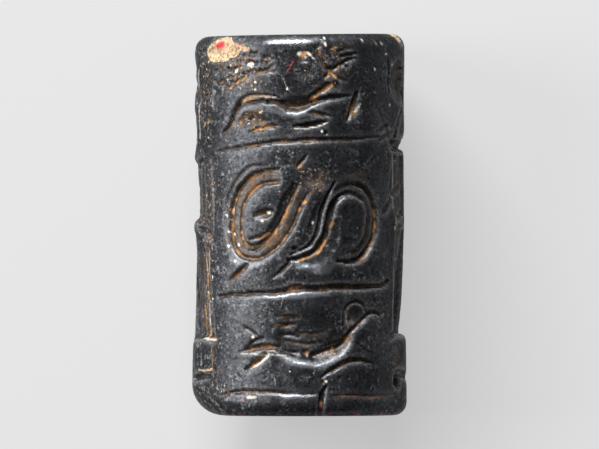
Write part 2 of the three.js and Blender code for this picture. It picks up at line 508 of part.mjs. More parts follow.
async function sealGeometry() {
  const section = sectionPoints();
  const turned = new THREE.LatheGeometry(section, columns);
  const position = turned.getAttribute("position");
  for (let i = 0; i < position.count; i++) {
    const angle = (2 * Math.PI * Math.floor(i / section.length)) / columns;
    const { x, y } = section[i % section.length];
    const point = wornPoint(angle, x, y);
    position.setXYZ(i, point.x, point.y - sealLength / 2, point.z);
  }
  turned.deleteAttribute("uv");
  turned.deleteAttribute("normal");
  const carved = mergeVertices(turned);
  const spare = carved.getAttribute("position").count - keptTriangles / 2;
  const geometry = await new SimplifyModifier().modify(carved, spare);
  layOnFlat(geometry.getAttribute("position"));
  geometry.computeBoundingBox();
  const middle = geometry.boundingBox.getCenter(new THREE.Vector3());
  geometry.translate(-middle.x, -middle.y, 0);
  geometry.computeVertexNormals();
  return geometry;
}

const hematite = new THREE.MeshStandardMaterial({ color: 0x393b40, roughness: 0.36, metalness: 0.25 });

const cylinderSeal = new THREE.Group();
const seal = new THREE.Mesh(await sealGeometry(), hematite);
seal.name = "seal";
cylinderSeal.add(seal);

export default cylinderSeal;
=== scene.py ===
# %% [markdown]
# # A carved cylinder seal
#
# A cylinder seal is a small stone roller. Its owner rolled it over wet clay, and the picture cut
# into the stone came out standing on the clay. This notebook makes one of dark hematite, 25 mm long,
# drilled from end to end and carved all round.
#
# The way here is the carver's own way of thinking. The picture is laid out flat, as it rolls out on
# the clay, and cut with a few kinds of tool into a flat sheet. Then the sheet is rolled up into the
# stone, closed at its ends, drilled, and given its finish.

# %% Load the measured frame
import bmesh
import bpy
import math
import numpy as np
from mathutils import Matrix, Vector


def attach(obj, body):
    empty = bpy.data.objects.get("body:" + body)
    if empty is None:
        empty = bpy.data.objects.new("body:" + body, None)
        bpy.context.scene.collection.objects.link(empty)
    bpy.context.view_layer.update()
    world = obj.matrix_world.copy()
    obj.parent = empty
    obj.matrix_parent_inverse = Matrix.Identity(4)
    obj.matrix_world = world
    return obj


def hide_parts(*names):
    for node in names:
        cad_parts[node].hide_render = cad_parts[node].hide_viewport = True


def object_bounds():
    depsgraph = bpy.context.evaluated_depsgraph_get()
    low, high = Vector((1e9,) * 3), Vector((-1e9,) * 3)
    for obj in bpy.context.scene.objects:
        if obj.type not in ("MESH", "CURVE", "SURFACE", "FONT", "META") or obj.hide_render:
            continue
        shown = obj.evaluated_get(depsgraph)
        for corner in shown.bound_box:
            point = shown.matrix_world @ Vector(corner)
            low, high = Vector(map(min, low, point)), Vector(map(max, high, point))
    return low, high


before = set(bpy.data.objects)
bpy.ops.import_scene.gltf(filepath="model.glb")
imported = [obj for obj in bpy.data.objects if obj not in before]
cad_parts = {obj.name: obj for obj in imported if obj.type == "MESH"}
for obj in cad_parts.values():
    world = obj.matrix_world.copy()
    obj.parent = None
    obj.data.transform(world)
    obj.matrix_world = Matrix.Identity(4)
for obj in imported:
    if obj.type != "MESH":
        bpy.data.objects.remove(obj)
frame_low, frame_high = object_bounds()
print("frame, mm:", [round(1000 * float(v), 2) for v in frame_high - frame_low])

# %% [markdown]
# ## Sizes
#
# The carving is worked out in millimetres, because that is how a seal is measured. The frame gives
# the length and the height of the axis above the table.

# %% Driving sizes
mm = 0.001
seal_length = 25.0
girth = 43.35                 # one turn of the picture
lower_radius = 7.05
upper_radius = 6.87
waist_wear = 0.08             # the middle is a little thinner
rim_radius = 0.9
worn_rim_radius = 2.1         # where the lower rim is worn most
worn_rim_around = 10.8
worn_rim_reach = 7.5
upper_end_slope = 0.2         # the upper end is lower by this on its -X side
bore_radius = 1.8
bore_mouth_radius = 2.15
axis_height = float(frame_high[2]) / mm - lower_radius + 0.02
frame_length = float(frame_high[1] - frame_low[1]) / mm
print(f"axis {axis_height:.2f} mm up, length {frame_length:.2f} mm")

# %% [markdown]
# ## Camera, light and table
#
# A loose seal lies on its side, so the camera looks straight down on it, with the top of the
# picture at the top of the view. A very long lens keeps the sides of the stone parallel. The light
# is that of a copy stand: one broad soft lamp low over the top end, so that every cut throws a short
# shadow, and a weaker one from the left. The table glows faintly, as a light table does, so that the
# shadows on it stay pale.

# %% Camera
def add_camera():
    view_height = 29.4 * mm
    lens = 1000
    sensor = 36
    width_over_height = 599 / 449
    distance = view_height * width_over_height * lens / sensor
    bpy.ops.object.camera_add(location=(0, 0, axis_height * mm + distance), rotation=(0, 0, 0))
    camera = bpy.context.object
    camera.data.lens = lens
    camera.data.sensor_width = sensor
    camera.data.clip_start = 0.01
    camera.data.clip_end = 10
    bpy.context.scene.camera = camera
    print("camera", round(distance, 3), "m above the seal")


add_camera()

# %% Lamps and surroundings
# each lamp's place and size in metres, and its power in watts
lamps = {
    "lamp_over_top_end": ((-0.16, 0.52, 0.34), (0.44, 0.22), 9.8),
    "lamp_at_left": ((-0.64, 0.10, 0.32), (0.30, 0.48), 4.6),
}


def add_lamp(name, place, size, power):
    bpy.ops.object.light_add(type="AREA", location=place)
    lamp = bpy.context.object
    lamp.name = name
    lamp.data.shape = "RECTANGLE"
    lamp.data.size, lamp.data.size_y = size
    lamp.data.energy = power
    lamp.rotation_mode = "QUATERNION"
    lamp.rotation_quaternion = (-lamp.location).to_track_quat("-Z", "Y")


def add_surroundings(brightness):
    world = bpy.data.worlds.new("studio")
    world.use_nodes = True
    background = world.node_tree.nodes["Background"]
    background.inputs["Color"].default_value = (1, 1, 1, 1)
    background.inputs["Strength"].default_value = brightness
    bpy.context.scene.world = world


for lamp_name, (lamp_place, lamp_size, lamp_power) in lamps.items():
    add_lamp(lamp_name, lamp_place, lamp_size, lamp_power)
add_surroundings(0.10)
bpy.context.scene.view_settings.view_transform = "Standard"
print(len(lamps), "lamps")

# %% Table
table_width = 6
table_grey = 0.18
table_glow = 0.49


def add_table():
    bpy.ops.mesh.primitive_plane_add(size=table_width, location=(0, 0, 0))
    table = bpy.context.object
    table.name = "table"
    material = bpy.data.materials.new("table paint")
    material.use_nodes = True
    paint_values = {
        "Base Color": (table_grey, table_grey, table_grey, 1),
        "Roughness": 0.9,
        "Specular IOR Level": 0.1,
        "Emission Color": (1, 1, 1, 1),
        "Emission Strength": table_glow,
    }
    for socket, value in paint_values.items():
        material.node_tree.nodes["Principled BSDF"].inputs[socket].default_value = value
    table.data.materials.append(material)
    print("table", table_width, "m wide")


add_table()

# %% [markdown]
# ## The flat sheet
#
# The sheet is a lattice as wide as the seal's girth and as high as its length. "Around" runs to the
# right as on the clay, and "up" runs from the lower end. The lattice is closer at the front of the
# stone, which is looked at most, and wider at the back.

# %% Places on the sheet
columns = 372
rows = 244
front_crowding = 0.45

turn_share = np.arange(columns) / columns - 0.5
around = girth * (turn_share - front_crowding * np.sin(2 * math.pi * turn_share) / (2 * math.pi))
up = np.empty(rows + 1)
rim_rows = 6
rim_turn = np.linspace(0, math.pi / 2, rim_rows + 1)
up[: rim_rows + 1] = rim_radius * (1 - np.cos(rim_turn))
up[rows - rim_rows :] = seal_length - rim_radius * (1 - np.sin(rim_turn))
up[rim_rows : rows - rim_rows + 1] = np.linspace(
    rim_radius, seal_length - rim_radius, rows - 2 * rim_rows + 1
)
beds = np.zeros((rows + 1, columns))       # broad sunk areas, mm deep
cuts = np.zeros((rows + 1, columns))       # strokes and pits in the stone or in the floor of a bed
ochre = np.zeros((rows + 1, columns))      # earth that has stayed in the cuts, from 0 to 1
print("sheet of", columns, "by", rows + 1, "places")

# %% [markdown]
# ## Unevenness
#
# Nothing on the stone is perfectly even. One helper makes smooth random hills of a chosen size over
# the sheet. It works on an even lattice that closes on itself, so the hills meet at the seam, and it
# has its own seed for each use, so that every run gives the same stone.

# %% Random hills
def hills(size, seed):
    """Smooth random heights over the sheet, about `size` mm across and about 1 high."""
    across, high = 512, 320
    lattice_height = 1.2 * seal_length         # more than the seal, because the lattice closes on itself
    raw = np.random.default_rng(seed).standard_normal((high, across))
    wave_across = np.fft.fftfreq(across, girth / across)
    wave_high = np.fft.fftfreq(high, lattice_height / high)
    wave = np.hypot(*np.meshgrid(wave_across, wave_high))
    smooth = np.fft.ifft2(np.fft.fft2(raw) * np.exp(-((wave * size) ** 2) * 2)).real
    smooth /= smooth.std()
    place_across = around / girth * across
    place_high = up / lattice_height * high
    left = np.floor(place_across).astype(int)
    low = np.floor(place_high).astype(int)
    share_across = (place_across - left)[None, :]
    share_high = (place_high - low)[:, None]

    def at(row, column):
        return smooth[np.ix_(row % high, column % across)]

    bottom = at(low, left) * (1 - share_across) + at(low, left + 1) * share_across
    top = at(low + 1, left) * (1 - share_across) + at(low + 1, left + 1) * share_across
    return bottom * (1 - share_high) + top * share_high


hand_shake = 0.02             # how far the carver's hand strays, mm
stray_around = hand_shake * hills(0.5, 1)
stray_up = hand_shake * hills(0.5, 2)
print("hills range from", round(float(stray_up.min()), 3), "to", round(float(stray_up.max()), 3))

# %% [markdown]
# ## The carver's tools
#
# Seals were cut with gravers, which leave strokes, and with small drills, which leave round or oval
# pits. Robes are broad beds with a rim. Each tool only works on the part of the sheet that it can
# reach, and where two strokes cross the deeper one shows.

# %% Where a tool reaches
def reach_of(points, reach):
    """The rows and columns of the sheet near some points, and the places there."""
    low = np.min(points, axis=0) - reach
    high = np.max(points, axis=0) + reach
    middle = (low[0] + high[0]) / 2
    gap = (around - middle + girth / 2) % girth - girth / 2
    near_columns = np.flatnonzero(np.abs(gap) <= (high[0] - low[0]) / 2)
    near_rows = np.flatnonzero((up >= low[1]) & (up <= high[1]))
    spot = np.ix_(near_rows, near_columns)
    place_around = middle + gap[near_columns][None, :] + stray_around[spot]
    place_up = up[near_rows][:, None] + stray_up[spot]
    return spot, place_around, place_up


print("the stray of the hand reaches", round(float(np.abs(stray_up).max()), 2), "mm")

# %% Lines
def smooth_line(points, parts=6):
    """A curve through the points, as short straight pieces."""
    points = np.array(points, float)
    if len(points) < 3:
        return points
    padded = np.vstack([2 * points[0] - points[1], points, 2 * points[-1] - points[-2]])
    line = [points[0]]
    for before, start, end, after in zip(padded, padded[1:], padded[2:], padded[3:]):
        for share in np.arange(1, parts + 1) / parts:
            pull = (end - before) * (share - 2 * share**2 + share**3) / 2
            push = (after - start) * (share**3 - share**2) / 2
            rise = share * share * (3 - 2 * share)
            line.append(start + (end - start) * rise + pull + push)
    return np.array(line)


def nearest(line, place_around, place_up):
    """Distance to a line, and how far along it the nearest point is, from 0 to 1."""
    distance = np.full(place_around.shape, np.inf)
    along = np.zeros(place_around.shape)
    pieces = len(line) - 1
    for i, (start, end) in enumerate(zip(line, line[1:])):
        run, rise = end - start
        length_squared = max(run * run + rise * rise, 1e-9)
        share = ((place_around - start[0]) * run + (place_up - start[1]) * rise) / length_squared
        share = np.clip(share, 0, 1)
        gap = np.hypot(place_around - start[0] - share * run, place_up - start[1] - share * rise)
        closer = gap < distance
        distance[closer] = gap[closer]
        along[closer] = (i + share[closer]) / pieces
    return distance, along


print("a line through three points has", len(smooth_line([(0, 0), (1, 1), (2, 0)])), "points")

# %% Stroke and drilling
margin = 0.1                  # how far round a mark the hand may stray, mm
bluntness = 0.85              # the lower it is, the flatter the floor that a tool leaves
swell = 0.35                  # the share of a stroke in which it reaches its full width
usual_fill = 0.3              # how much ochre has stayed in a cut, from 0 to 1


def round_floor(off):
    """The hollow that a round tool leaves: 1 in the middle and 0 at its edge."""
    return np.clip(1 - off * off, 0, None) ** bluntness


def sink(field, spot, depth):
    """Deepen a field where the new mark is deeper than what is there."""
    field[spot] = np.maximum(field[spot], depth)


def stroke(width, depth, points, start=1.0, end=1.0, fill=usual_fill, field=cuts):
    """A graver's stroke. start and end are the shares of the width that are left at its ends,
    and fill is how much ochre has stayed in it."""
    line = smooth_line(points)
    spot, place_around, place_up = reach_of(line, width / 2 + margin)
    distance, along = nearest(line, place_around, place_up)
    size = np.minimum(start + (1 - start) * along / swell, end + (1 - end) * (1 - along) / swell)
    size = np.clip(size, 0.05, 1)
    shape = size * round_floor(distance / (width / 2 * size))
    sink(field, spot, depth * shape)
    if field is cuts:
        sink(ochre, spot, fill * np.clip(1.3 * shape, 0, 1) ** 2)


def drilling(middle_around, middle_up, length, width, depth, turn=0, fill=usual_fill, field=cuts):
    """A round or oval pit, turned by an angle in degrees."""
    reach = max(length, width) / 2 + margin
    spot, place_around, place_up = reach_of([(middle_around, middle_up)], reach)
    cos, sin = math.cos(math.radians(turn)), math.sin(math.radians(turn))
    to_right, to_top = place_around - middle_around, place_up - middle_up
    along = (to_right * cos + to_top * sin) / (length / 2)
    across = (to_top * cos - to_right * sin) / (width / 2)
    shape = round_floor(np.hypot(along, across))
    sink(field, spot, depth * shape)
    if field is cuts:
        sink(ochre, spot, fill * shape)


print("gravers and drills ready")

# %% Strand of the plait
strand_wall = 0.2             # how wide the slope at a strand's side is, mm
strand_crown = 0.2            # how much of its depth the middle of a strand keeps standing
strand_fade = 0.06            # the share of its length in which it runs out


def strand(width, depth, points, edge_width, edge_depth, fill):
    """A strand of the plait: a shallow trough with a groove along each of its edges."""
    line = smooth_line(points)
    spot, place_around, place_up = reach_of(line, width / 2 + strand_wall)
    distance, along = nearest(line, place_around, place_up)
    fade = np.clip(np.minimum(along, 1 - along) / strand_fade, 0, 1)
    trough = np.clip((width / 2 - distance) / strand_wall + 0.5, 0, 1)
    groove = round_floor((distance - width / 2 + edge_width / 2) / (edge_width / 2))
    crown = np.clip(1 - (distance / (width / 2)) ** 2, 0, 1)
    sink(cuts, spot, fade * (trough * depth * (1 - strand_crown * crown) + edge_depth * groove))
    sink(ochre, spot, fade * np.clip(0.8 * fill * groove**2 + 0.40 * fill * trough, 0, 1))


print("tool for the plait ready")

# %% Bed, ring and row of beads
def bed(outline, foot_depth, head_depth, slope_width=0.35):
    """A broad sunk area, as deep as asked at its foot and at its head."""
    outline = np.array(outline, float)
    closed = np.vstack([outline, outline[:1]])
    spot, place_around, place_up = reach_of(outline, margin)
    inside = np.zeros(place_around.shape, bool)
    for (a0, u0), (a1, u1) in zip(closed, closed[1:]):
        if u0 != u1:
            crossing = a0 + (place_up - u0) * (a1 - a0) / (u1 - u0)
            inside ^= ((u0 > place_up) != (u1 > place_up)) & (place_around < crossing)
    distance, _ = nearest(closed, place_around, place_up)
    edge = np.clip(distance / slope_width, 0, 1)
    foot, head = outline[:, 1].min(), outline[:, 1].max()
    height = np.clip((place_up - foot) / (head - foot), 0, 1)
    depth = foot_depth + (head_depth - foot_depth) * height
    sink(beds, spot, inside * depth * edge * edge * (3 - 2 * edge))


def ring(middle_around, middle_up, half_width, half_height, width, depth):
    turns = np.linspace(0, 2 * math.pi, 17)
    arounds = middle_around + half_width * np.cos(turns)
    stroke(width, depth, list(zip(arounds, middle_up + half_height * np.sin(turns))))


def bead_row(points, spacing, size, depth):
    line = smooth_line(points)
    run = np.concatenate([[0], np.cumsum(np.hypot(*np.diff(line, axis=0).T))])
    for at in np.arange(0, run[-1] + 0.01, spacing):
        drilling(np.interp(at, run, line[:, 0]), np.interp(at, run, line[:, 1]), size, size, depth)


def tell(what):
    share = 100 * float((np.maximum(beds, cuts) > 0.05).mean())
    print(f"{what} cut, and {share:.0f}% of the sheet is carved now")

# %% [markdown]
# ## The front column
#
# Three registers stand one over the other: a goat under a leafy branch, a plait wound round three
# bosses, and a bird. Thin ground lines part them. Places are (around, up) in millimetres.

# %% Ground lines
upper_line = [(-5.9, 18.3), (-4, 18.15), (-2, 18.08), (0, 18.05), (1.6, 17.98), (2.6, 17.85)]
stroke(0.34, 0.28, upper_line + [(4, 17.68), (6.2, 17.4)], 0.6, 0.7, 0.6)
lower_line = [(-6.8, 8.85), (-6.2, 8.55), (-5.2, 8.45), (-3, 8.45), (-1, 8.35), (0.4, 8.3)]
stroke(0.46, 0.36, lower_line + [(1.6, 8.1), (3.2, 8.05), (4.6, 8.0), (5.9, 7.85)], 0.7, 0.7, 0.5)
stroke(0.40, 0.30, [(-0.1, 8.5), (0.4, 8.4), (0.9, 8.2)], 0.7, 0.7, 0.8)
stroke(0.26, 0.14, [(-7.5, 1.4), (-4.6, 1.33), (-2.1, 1.38)], 0.7, 0.7, 0)
stroke(0.28, 0.20, [(-1.0, 1.45), (1, 1.5), (2.5, 1.62), (4.5, 1.6), (5.6, 1.3)], 0.8, 0.6, 0.2)
stroke(0.42, 0.34, [(-1.75, 2.0), (-1.5, 1.5), (-1.4, 0.9), (-1.4, 0.1)], 0.5, 1, 0)
tell("ground lines")

# %% Goat's body
def carve_goat_body():
    belly = [(-1.7, 20.65), (-0.6, 21.15), (0.6, 21.1), (1.4, 20.85), (1.6, 20.35), (0.9, 19.85)]
    bed(belly + [(0.1, 19.75), (-0.8, 20.1)], 0.52, 0.12, 0.45)
    stroke(0.50, 0.18, [(1.5, 20.5), (0.7, 20.35), (-0.2, 20.3), (-1.0, 20.6)], 0.5, 0.5, 0.45)
    back = [(4.15, 20.4), (3.4, 20.6), (2.4, 20.68), (1.6, 20.62), (0.9, 20.55)]
    stroke(0.34, 0.48, back, 0.7, 0.6, 0.2)
    stroke(0.44, 0.28, [(4.6, 20.1), (4.15, 20.6), (3.4, 20.9), (2.4, 21.0), (1.3, 20.85)], 0.8, 0.5, 1)
    stroke(0.40, 0.34, [(-0.9, 20.5), (-1.6, 20.75), (-2.6, 20.9), (-3.5, 20.95)], 1, 0.5, 0.3)
    stroke(0.60, 0.26, [(-0.8, 20.9), (-1.3, 21.2), (-1.9, 21.6)], 0.8, 0.9, 0.7)


carve_goat_body()
tell("goat's body")

# %% Goat's legs
def carve_goat_legs():
    rump_and_hind_leg = [(4.1, 20.5), (4.45, 20.15), (4.75, 19.7), (4.9, 19.3), (5.3, 18.85)]
    stroke(0.42, 0.42, rump_and_hind_leg + [(5.7, 18.55)], 1, 0.5, 0.8)
    bed([(1.6, 19.3), (2.6, 20.1), (3.8, 20.2), (4.4, 19.6), (4.0, 18.9), (2.6, 18.7)], 0.16, 0.06, 0.5)
    drilling(3.3, 19.45, 0.7, 0.3, 0.14, -35, 1.0)
    drilling(3.1, 19.8, 0.4, 0.25, 0.12, 30, 0.9)
    drilling(4.2, 19.3, 0.5, 0.3, 0.14, 60, 0.9)
    drilling(3.8, 19.7, 0.3, 0.2, 0.12, 10, 0.8)
    stroke(0.34, 0.24, [(1.5, 19.0), (1.9, 19.02), (2.3, 18.9)], 0.6, 0.8, 1)
    stroke(0.34, 0.22, [(2.4, 18.82), (2.8, 18.8), (3.4, 18.66)], 0.8, 0.6, 1)
    stroke(0.30, 0.28, [(-2.1, 19.6), (-1.4, 19.72), (-0.7, 19.88)], 0.4, 0.8, 0.8)
    stroke(0.26, 0.24, [(-1.4, 19.85), (-0.9, 19.92), (-0.5, 19.85)], 0.6, 0.6, 0.2)
    stroke(0.38, 0.42, [(-1.85, 19.28), (-0.9, 19.12), (0.4, 18.95)], 0.5, 0.6, 0.25)
    stroke(0.50, 0.42, [(-3.95, 21.1), (-3.8, 20.5), (-3.55, 19.9), (-3.25, 19.35)], 0.8, 0.6, 0.9)
    stroke(0.24, 0.20, [(-4.2, 20.4), (-3.9, 19.9), (-3.7, 19.5)], 0.6, 0.6, 0.9)
    drilling(-1.78, 18.5, 0.3, 0.3, 0.26)


carve_goat_legs()
tell("goat's legs")

# %% Goat's head
def carve_goat_head():
    drilling(-2.5, 21.65, 0.8, 0.55, 0.2, 40, 0.1)
    horn = [(-3.2, 21.9), (-2.4, 22.25), (-1.9, 22.7), (-1.5, 23.3), (-1.1, 24.3)]
    stroke(0.34, 0.30, horn, 0.5, 0.5, 0.7)
    stroke(0.34, 0.32, [(-2.8, 23.1), (-2.2, 22.6), (-1.7, 22.2)], 0.5, 0.8, 0.8)
    stroke(0.28, 0.26, [(-4.1, 23.75), (-3.4, 23.6), (-2.8, 23.55)], 0.4, 1, 0.3)
    stroke(0.34, 0.30, [(-4.0, 23.42), (-3.3, 23.25), (-2.8, 23.0)], 0.4, 1, 0.2)
    stroke(0.26, 0.18, [(-3.9, 24.0), (-3.3, 24.0), (-2.6, 23.85)], 0.4, 1, 0.4)
    stroke(0.30, 0.22, [(-3.0, 24.35), (-2.5, 24.15), (-2.0, 23.95)], 0.5, 0.6, 0.9)
    stroke(0.30, 0.30, [(-1.5, 24.45), (-1.25, 24.2), (-1.0, 24.0)], 0.6, 0.6, 0.2)
    drilling(-3.2, 22.85, 0.5, 0.3, 0.24, 20, 0.2)
    drilling(-0.2, 23.3, 1.0, 0.3, 0.2, 10, 0.1)
    drilling(-2.0, 22.75, 0.5, 0.3, 0.34, -40, 0.2)


carve_goat_head()
tell("goat's head")

# %% Leafy branch
def carve_branch():
    """Worn leaves: short strokes and many small pits, with a lot of earth left in them."""
    stroke(0.38, 0.22, [(1.9, 22.75), (2.4, 22.62), (2.9, 22.55)], 0.5, 0.8, 0.8)
    drilling(2.2, 23.5, 0.7, 0.34, 0.18, -10, 0.7)
    drilling(3.3, 23.2, 1.1, 0.36, 0.22, 8, 0.6)
    drilling(4.5, 22.75, 0.7, 0.4, 0.24, -45, 0.6)
    stroke(0.32, 0.20, [(3.5, 22.5), (3.9, 22.15), (4.3, 22.0), (4.9, 21.7)], 0.6, 0.7, 0.8)
    drilling(5.75, 21.95, 0.6, 0.4, 0.22, -15, 0.9)
    drilling(5.0, 21.55, 0.5, 0.3, 0.2, -30, 0.9)
    rough = np.random.default_rng(21)
    for _ in range(46):
        place = rough.uniform(1.8, 6.5)
        level = 23.6 - 0.3 * (place - 1.8) + rough.uniform(-1.0, 0.8)
        length, depth = rough.uniform(0.28, 0.75), rough.uniform(0.06, 0.20)
        drilling(place, level, length, 0.26, depth, rough.uniform(-50, 20), rough.uniform(0, 0.9))
    stroke(0.34, 0.24, [(6.45, 21.4), (6.5, 20.7), (6.45, 20.1)], 0.5, 0.5, 0)


carve_branch()
tell("branch")

# %% Right boss of the plait
def carve_right_boss():
    """The boss, and the strand that comes down its slope from the middle and winds round it."""
    strand_line = [(-0.45, 15.1), (0.1, 14.2), (0.45, 13.5), (0.8, 12.7), (1.25, 12.0), (1.9, 11.3)]
    strand_line += [(2.7, 10.8), (3.6, 10.75), (4.25, 11.2), (4.55, 12.0), (4.55, 13.1), (4.3, 14.1)]
    strand_line += [(3.75, 14.9), (2.9, 15.5), (2.0, 15.7), (1.1, 15.7)]
    strand(1.06, 0.30, strand_line, 0.24, 0.16, 1.0)
    stroke(1.10, 0.30, [(0.3, 15.1), (0.7, 14.3), (1.0, 13.5), (1.45, 12.7), (2.0, 12.0)], 0.5, 0.6, 0)
    stroke(0.36, 0.48, [(0.5, 14.5), (0.8, 13.8), (1.1, 13.2), (1.5, 12.5), (2.0, 11.9)], 0.6, 0.6, 0.2)
    stroke(0.34, 0.46, [(2.0, 11.6), (2.6, 11.1), (3.3, 10.85), (3.9, 11.0)], 0.6, 0.6, 0.2)
    outer_lip = [(2.0, 16.5), (3.4, 16.3), (4.4, 15.5), (5.2, 14.2), (5.35, 12.6), (4.9, 10.9)]
    stroke(0.30, 0.10, outer_lip, 0.5, 0.6)
    stroke(0.34, 0.24, [(1.6, 12.0), (2.4, 11.85), (3.4, 11.55)], 0.6, 0.6, 0.9)
    drilling(2.35, 13.3, 1.7, 0.75, 0.30, -10, 0.5)
    drilling(2.4, 13.25, 0.8, 0.34, 0.40, -10, 0.9)


carve_right_boss()
tell("right boss")

# %% Left boss of the plait
def carve_left_boss():
    """The other strand runs down between the bosses and winds round the left one."""
    strand_line = [(-2.4, 14.3), (-2.9, 14.8), (-3.7, 14.9), (-4.6, 14.6), (-5.15, 13.8), (-5.3, 12.9)]
    strand_line += [(-5.1, 11.9), (-4.7, 11.2), (-4.0, 10.55), (-3.2, 10.4)]
    strand(0.80, 0.18, strand_line, 0.2, 0.06, 0.36)
    outer_groove = [(-2.9, 14.95), (-3.6, 15.2), (-4.5, 15.0), (-5.2, 14.35), (-5.6, 13.5)]
    stroke(0.36, 0.42, outer_groove, 0.5, 1, 0.6)
    stroke(0.36, 0.40, [(-5.6, 13.5), (-5.7, 12.6), (-5.5, 11.7), (-5.05, 10.95)], 1, 1, 0.9)
    stroke(0.44, 0.52, [(-5.1, 11.05), (-4.5, 10.45), (-3.8, 10.12), (-2.5, 10.15)], 1, 0.5, 0.5)
    inner_groove = [(-4.6, 14.1), (-4.9, 13.3), (-4.88, 12.5), (-4.65, 11.7), (-4.2, 11.05), (-3.2, 10.7)]
    stroke(0.28, 0.26, inner_groove, 0.8, 0.6, 0.2)
    boss_slope = [(-2.4, 12.6), (-2.05, 11.7), (-1.65, 10.95), (-1.0, 10.4), (0.2, 10.05)]
    stroke(1.40, 0.20, boss_slope, 0.5, 0.6, 0)
    boss_edge = [(0.7, 10.2), (0.0, 10.35), (-0.9, 10.7), (-1.45, 11.3), (-1.75, 11.9), (-1.98, 12.8)]
    boss_edge += [(-2.25, 13.8), (-2.8, 14.42), (-3.7, 14.6), (-4.6, 14.1)]
    stroke(0.52, 0.50, boss_edge, 0.6, 0.6, 0.3)
    groove_by_leaf = [(-2.4, 15.3), (-1.98, 14.6), (-1.66, 14.0), (-1.38, 13.1), (-1.2, 12.2)]
    stroke(0.34, 0.44, groove_by_leaf + [(-0.85, 11.4), (-0.3, 10.95), (0.6, 10.6)], 0.6, 0.6, 0.2)
    drilling(-3.3, 12.9, 0.5, 0.26, 0.12)


carve_left_boss()
tell("left boss")

# %% Middle of the plait, and the strokes round it
def carve_middle_leaf():
    stroke(0.80, 0.14, [(-1.9, 14.6), (-1.3, 13.6), (-0.95, 12.6), (-0.5, 11.6), (0.1, 10.9)], 0.5, 0.5, 0)
    drilling(-0.85, 12.85, 0.5, 0.22, 0.16, 5)
    drilling(0.3, 11.0, 0.6, 0.4, 0.34, 0, 0.5)
    bed([(-2.2, 14.9), (-1.8, 16.1), (-0.4, 16.2), (0.7, 15.4), (0.6, 14.4), (-0.8, 14.7)], 0.14, 0.08, 0.7)


def carve_strokes_round_plait():
    stroke(0.26, 0.22, [(-0.55, 17.15), (-0.25, 16.8), (0.1, 16.4)], 0.5, 1, 0.4)
    stroke(0.24, 0.14, [(-5.5, 16.95), (-4.9, 16.4)], 0.5, 1)
    stroke(0.40, 0.38, [(3.6, 9.95), (4.3, 9.4), (5.15, 8.8)], 0.8, 0.5, 1)
    stroke(0.28, 0.28, [(0.7, 10.0), (1.2, 9.55), (1.7, 9.05)], 1, 0.5, 0.4)


carve_middle_leaf()
carve_strokes_round_plait()
tell("middle of the plait")

# %% Bird's body
def carve_bird_body():
    back = [(-3.5, 5.6), (-3.1, 6.6), (-2.0, 7.4), (0.2, 7.2), (1.5, 6.3), (1.8, 5.2), (1.7, 4.5)]
    breast_and_belly = [(1.3, 3.95), (0.4, 3.5), (-1.0, 3.2), (-2.2, 3.5), (-3.2, 4.05), (-3.75, 4.8)]
    bed(back + breast_and_belly, 0.58, 0.02, 0.62)
    stroke(0.46, 0.22, [(-3.4, 5.3), (-3.05, 4.75), (-2.4, 4.45), (-1.5, 4.2), (-0.9, 4.0)], 1, 1, 0.3)
    stroke(0.26, 0.12, [(-0.2, 6.5), (0.7, 6.5), (1.6, 6.55)], 0.5, 0.5, 0.5)
    stroke(0.28, 0.20, [(0.2, 6.05), (0.9, 6.0), (1.7, 5.95)], 0.6, 0.5, 0.9)
    stroke(0.26, 0.12, [(-1.8, 5.5), (-0.4, 5.4), (0.3, 5.55)], 0.6, 0.8, 0.5)
    stroke(0.30, 0.16, [(-1.6, 4.9), (-0.8, 4.75), (0.1, 4.85), (1.0, 5.0)], 0.7, 0.7, 0.4)
    stroke(0.34, 0.20, [(0.0, 5.2), (0.6, 5.4), (1.1, 5.35)], 0.7, 0.7, 0.1)
    stroke(0.22, 0.14, [(-2.9, 4.95), (-2.1, 4.7), (-1.3, 4.5)], 0.6, 0.6, 0.6)
    drilling(-0.45, 4.2, 0.6, 0.5, 0.2, 0, 0.8)
    stroke(0.44, 0.20, [(0.1, 4.2), (0.7, 4.15), (1.4, 4.35)], 0.6, 0.8, 0)


carve_bird_body()
tell("bird's body")

# %% Bird's head
def carve_bird_head():
    head = [(-4.75, 6.8), (-4.45, 7.3), (-3.9, 7.5), (-3.35, 7.3), (-3.05, 6.8), (-3.05, 6.1)]
    stroke(0.30, 0.22, head + [(-3.2, 5.6)], 0.7, 1, 0.3)
    drilling(-3.9, 6.6, 1.5, 1.3, 0.26, 20, 0.2)
    beak_and_neck = [(-6.0, 6.2), (-5.85, 6.65), (-5.4, 6.8), (-4.9, 6.65), (-4.4, 6.2), (-3.8, 5.8)]
    stroke(0.32, 0.34, beak_and_neck + [(-3.45, 5.4), (-3.35, 5.0)], 0.5, 1, 0.6)
    drilling(-3.45, 6.3, 0.5, 0.4, 0.3, 60, 0.4)


carve_bird_head()
tell("bird's head")

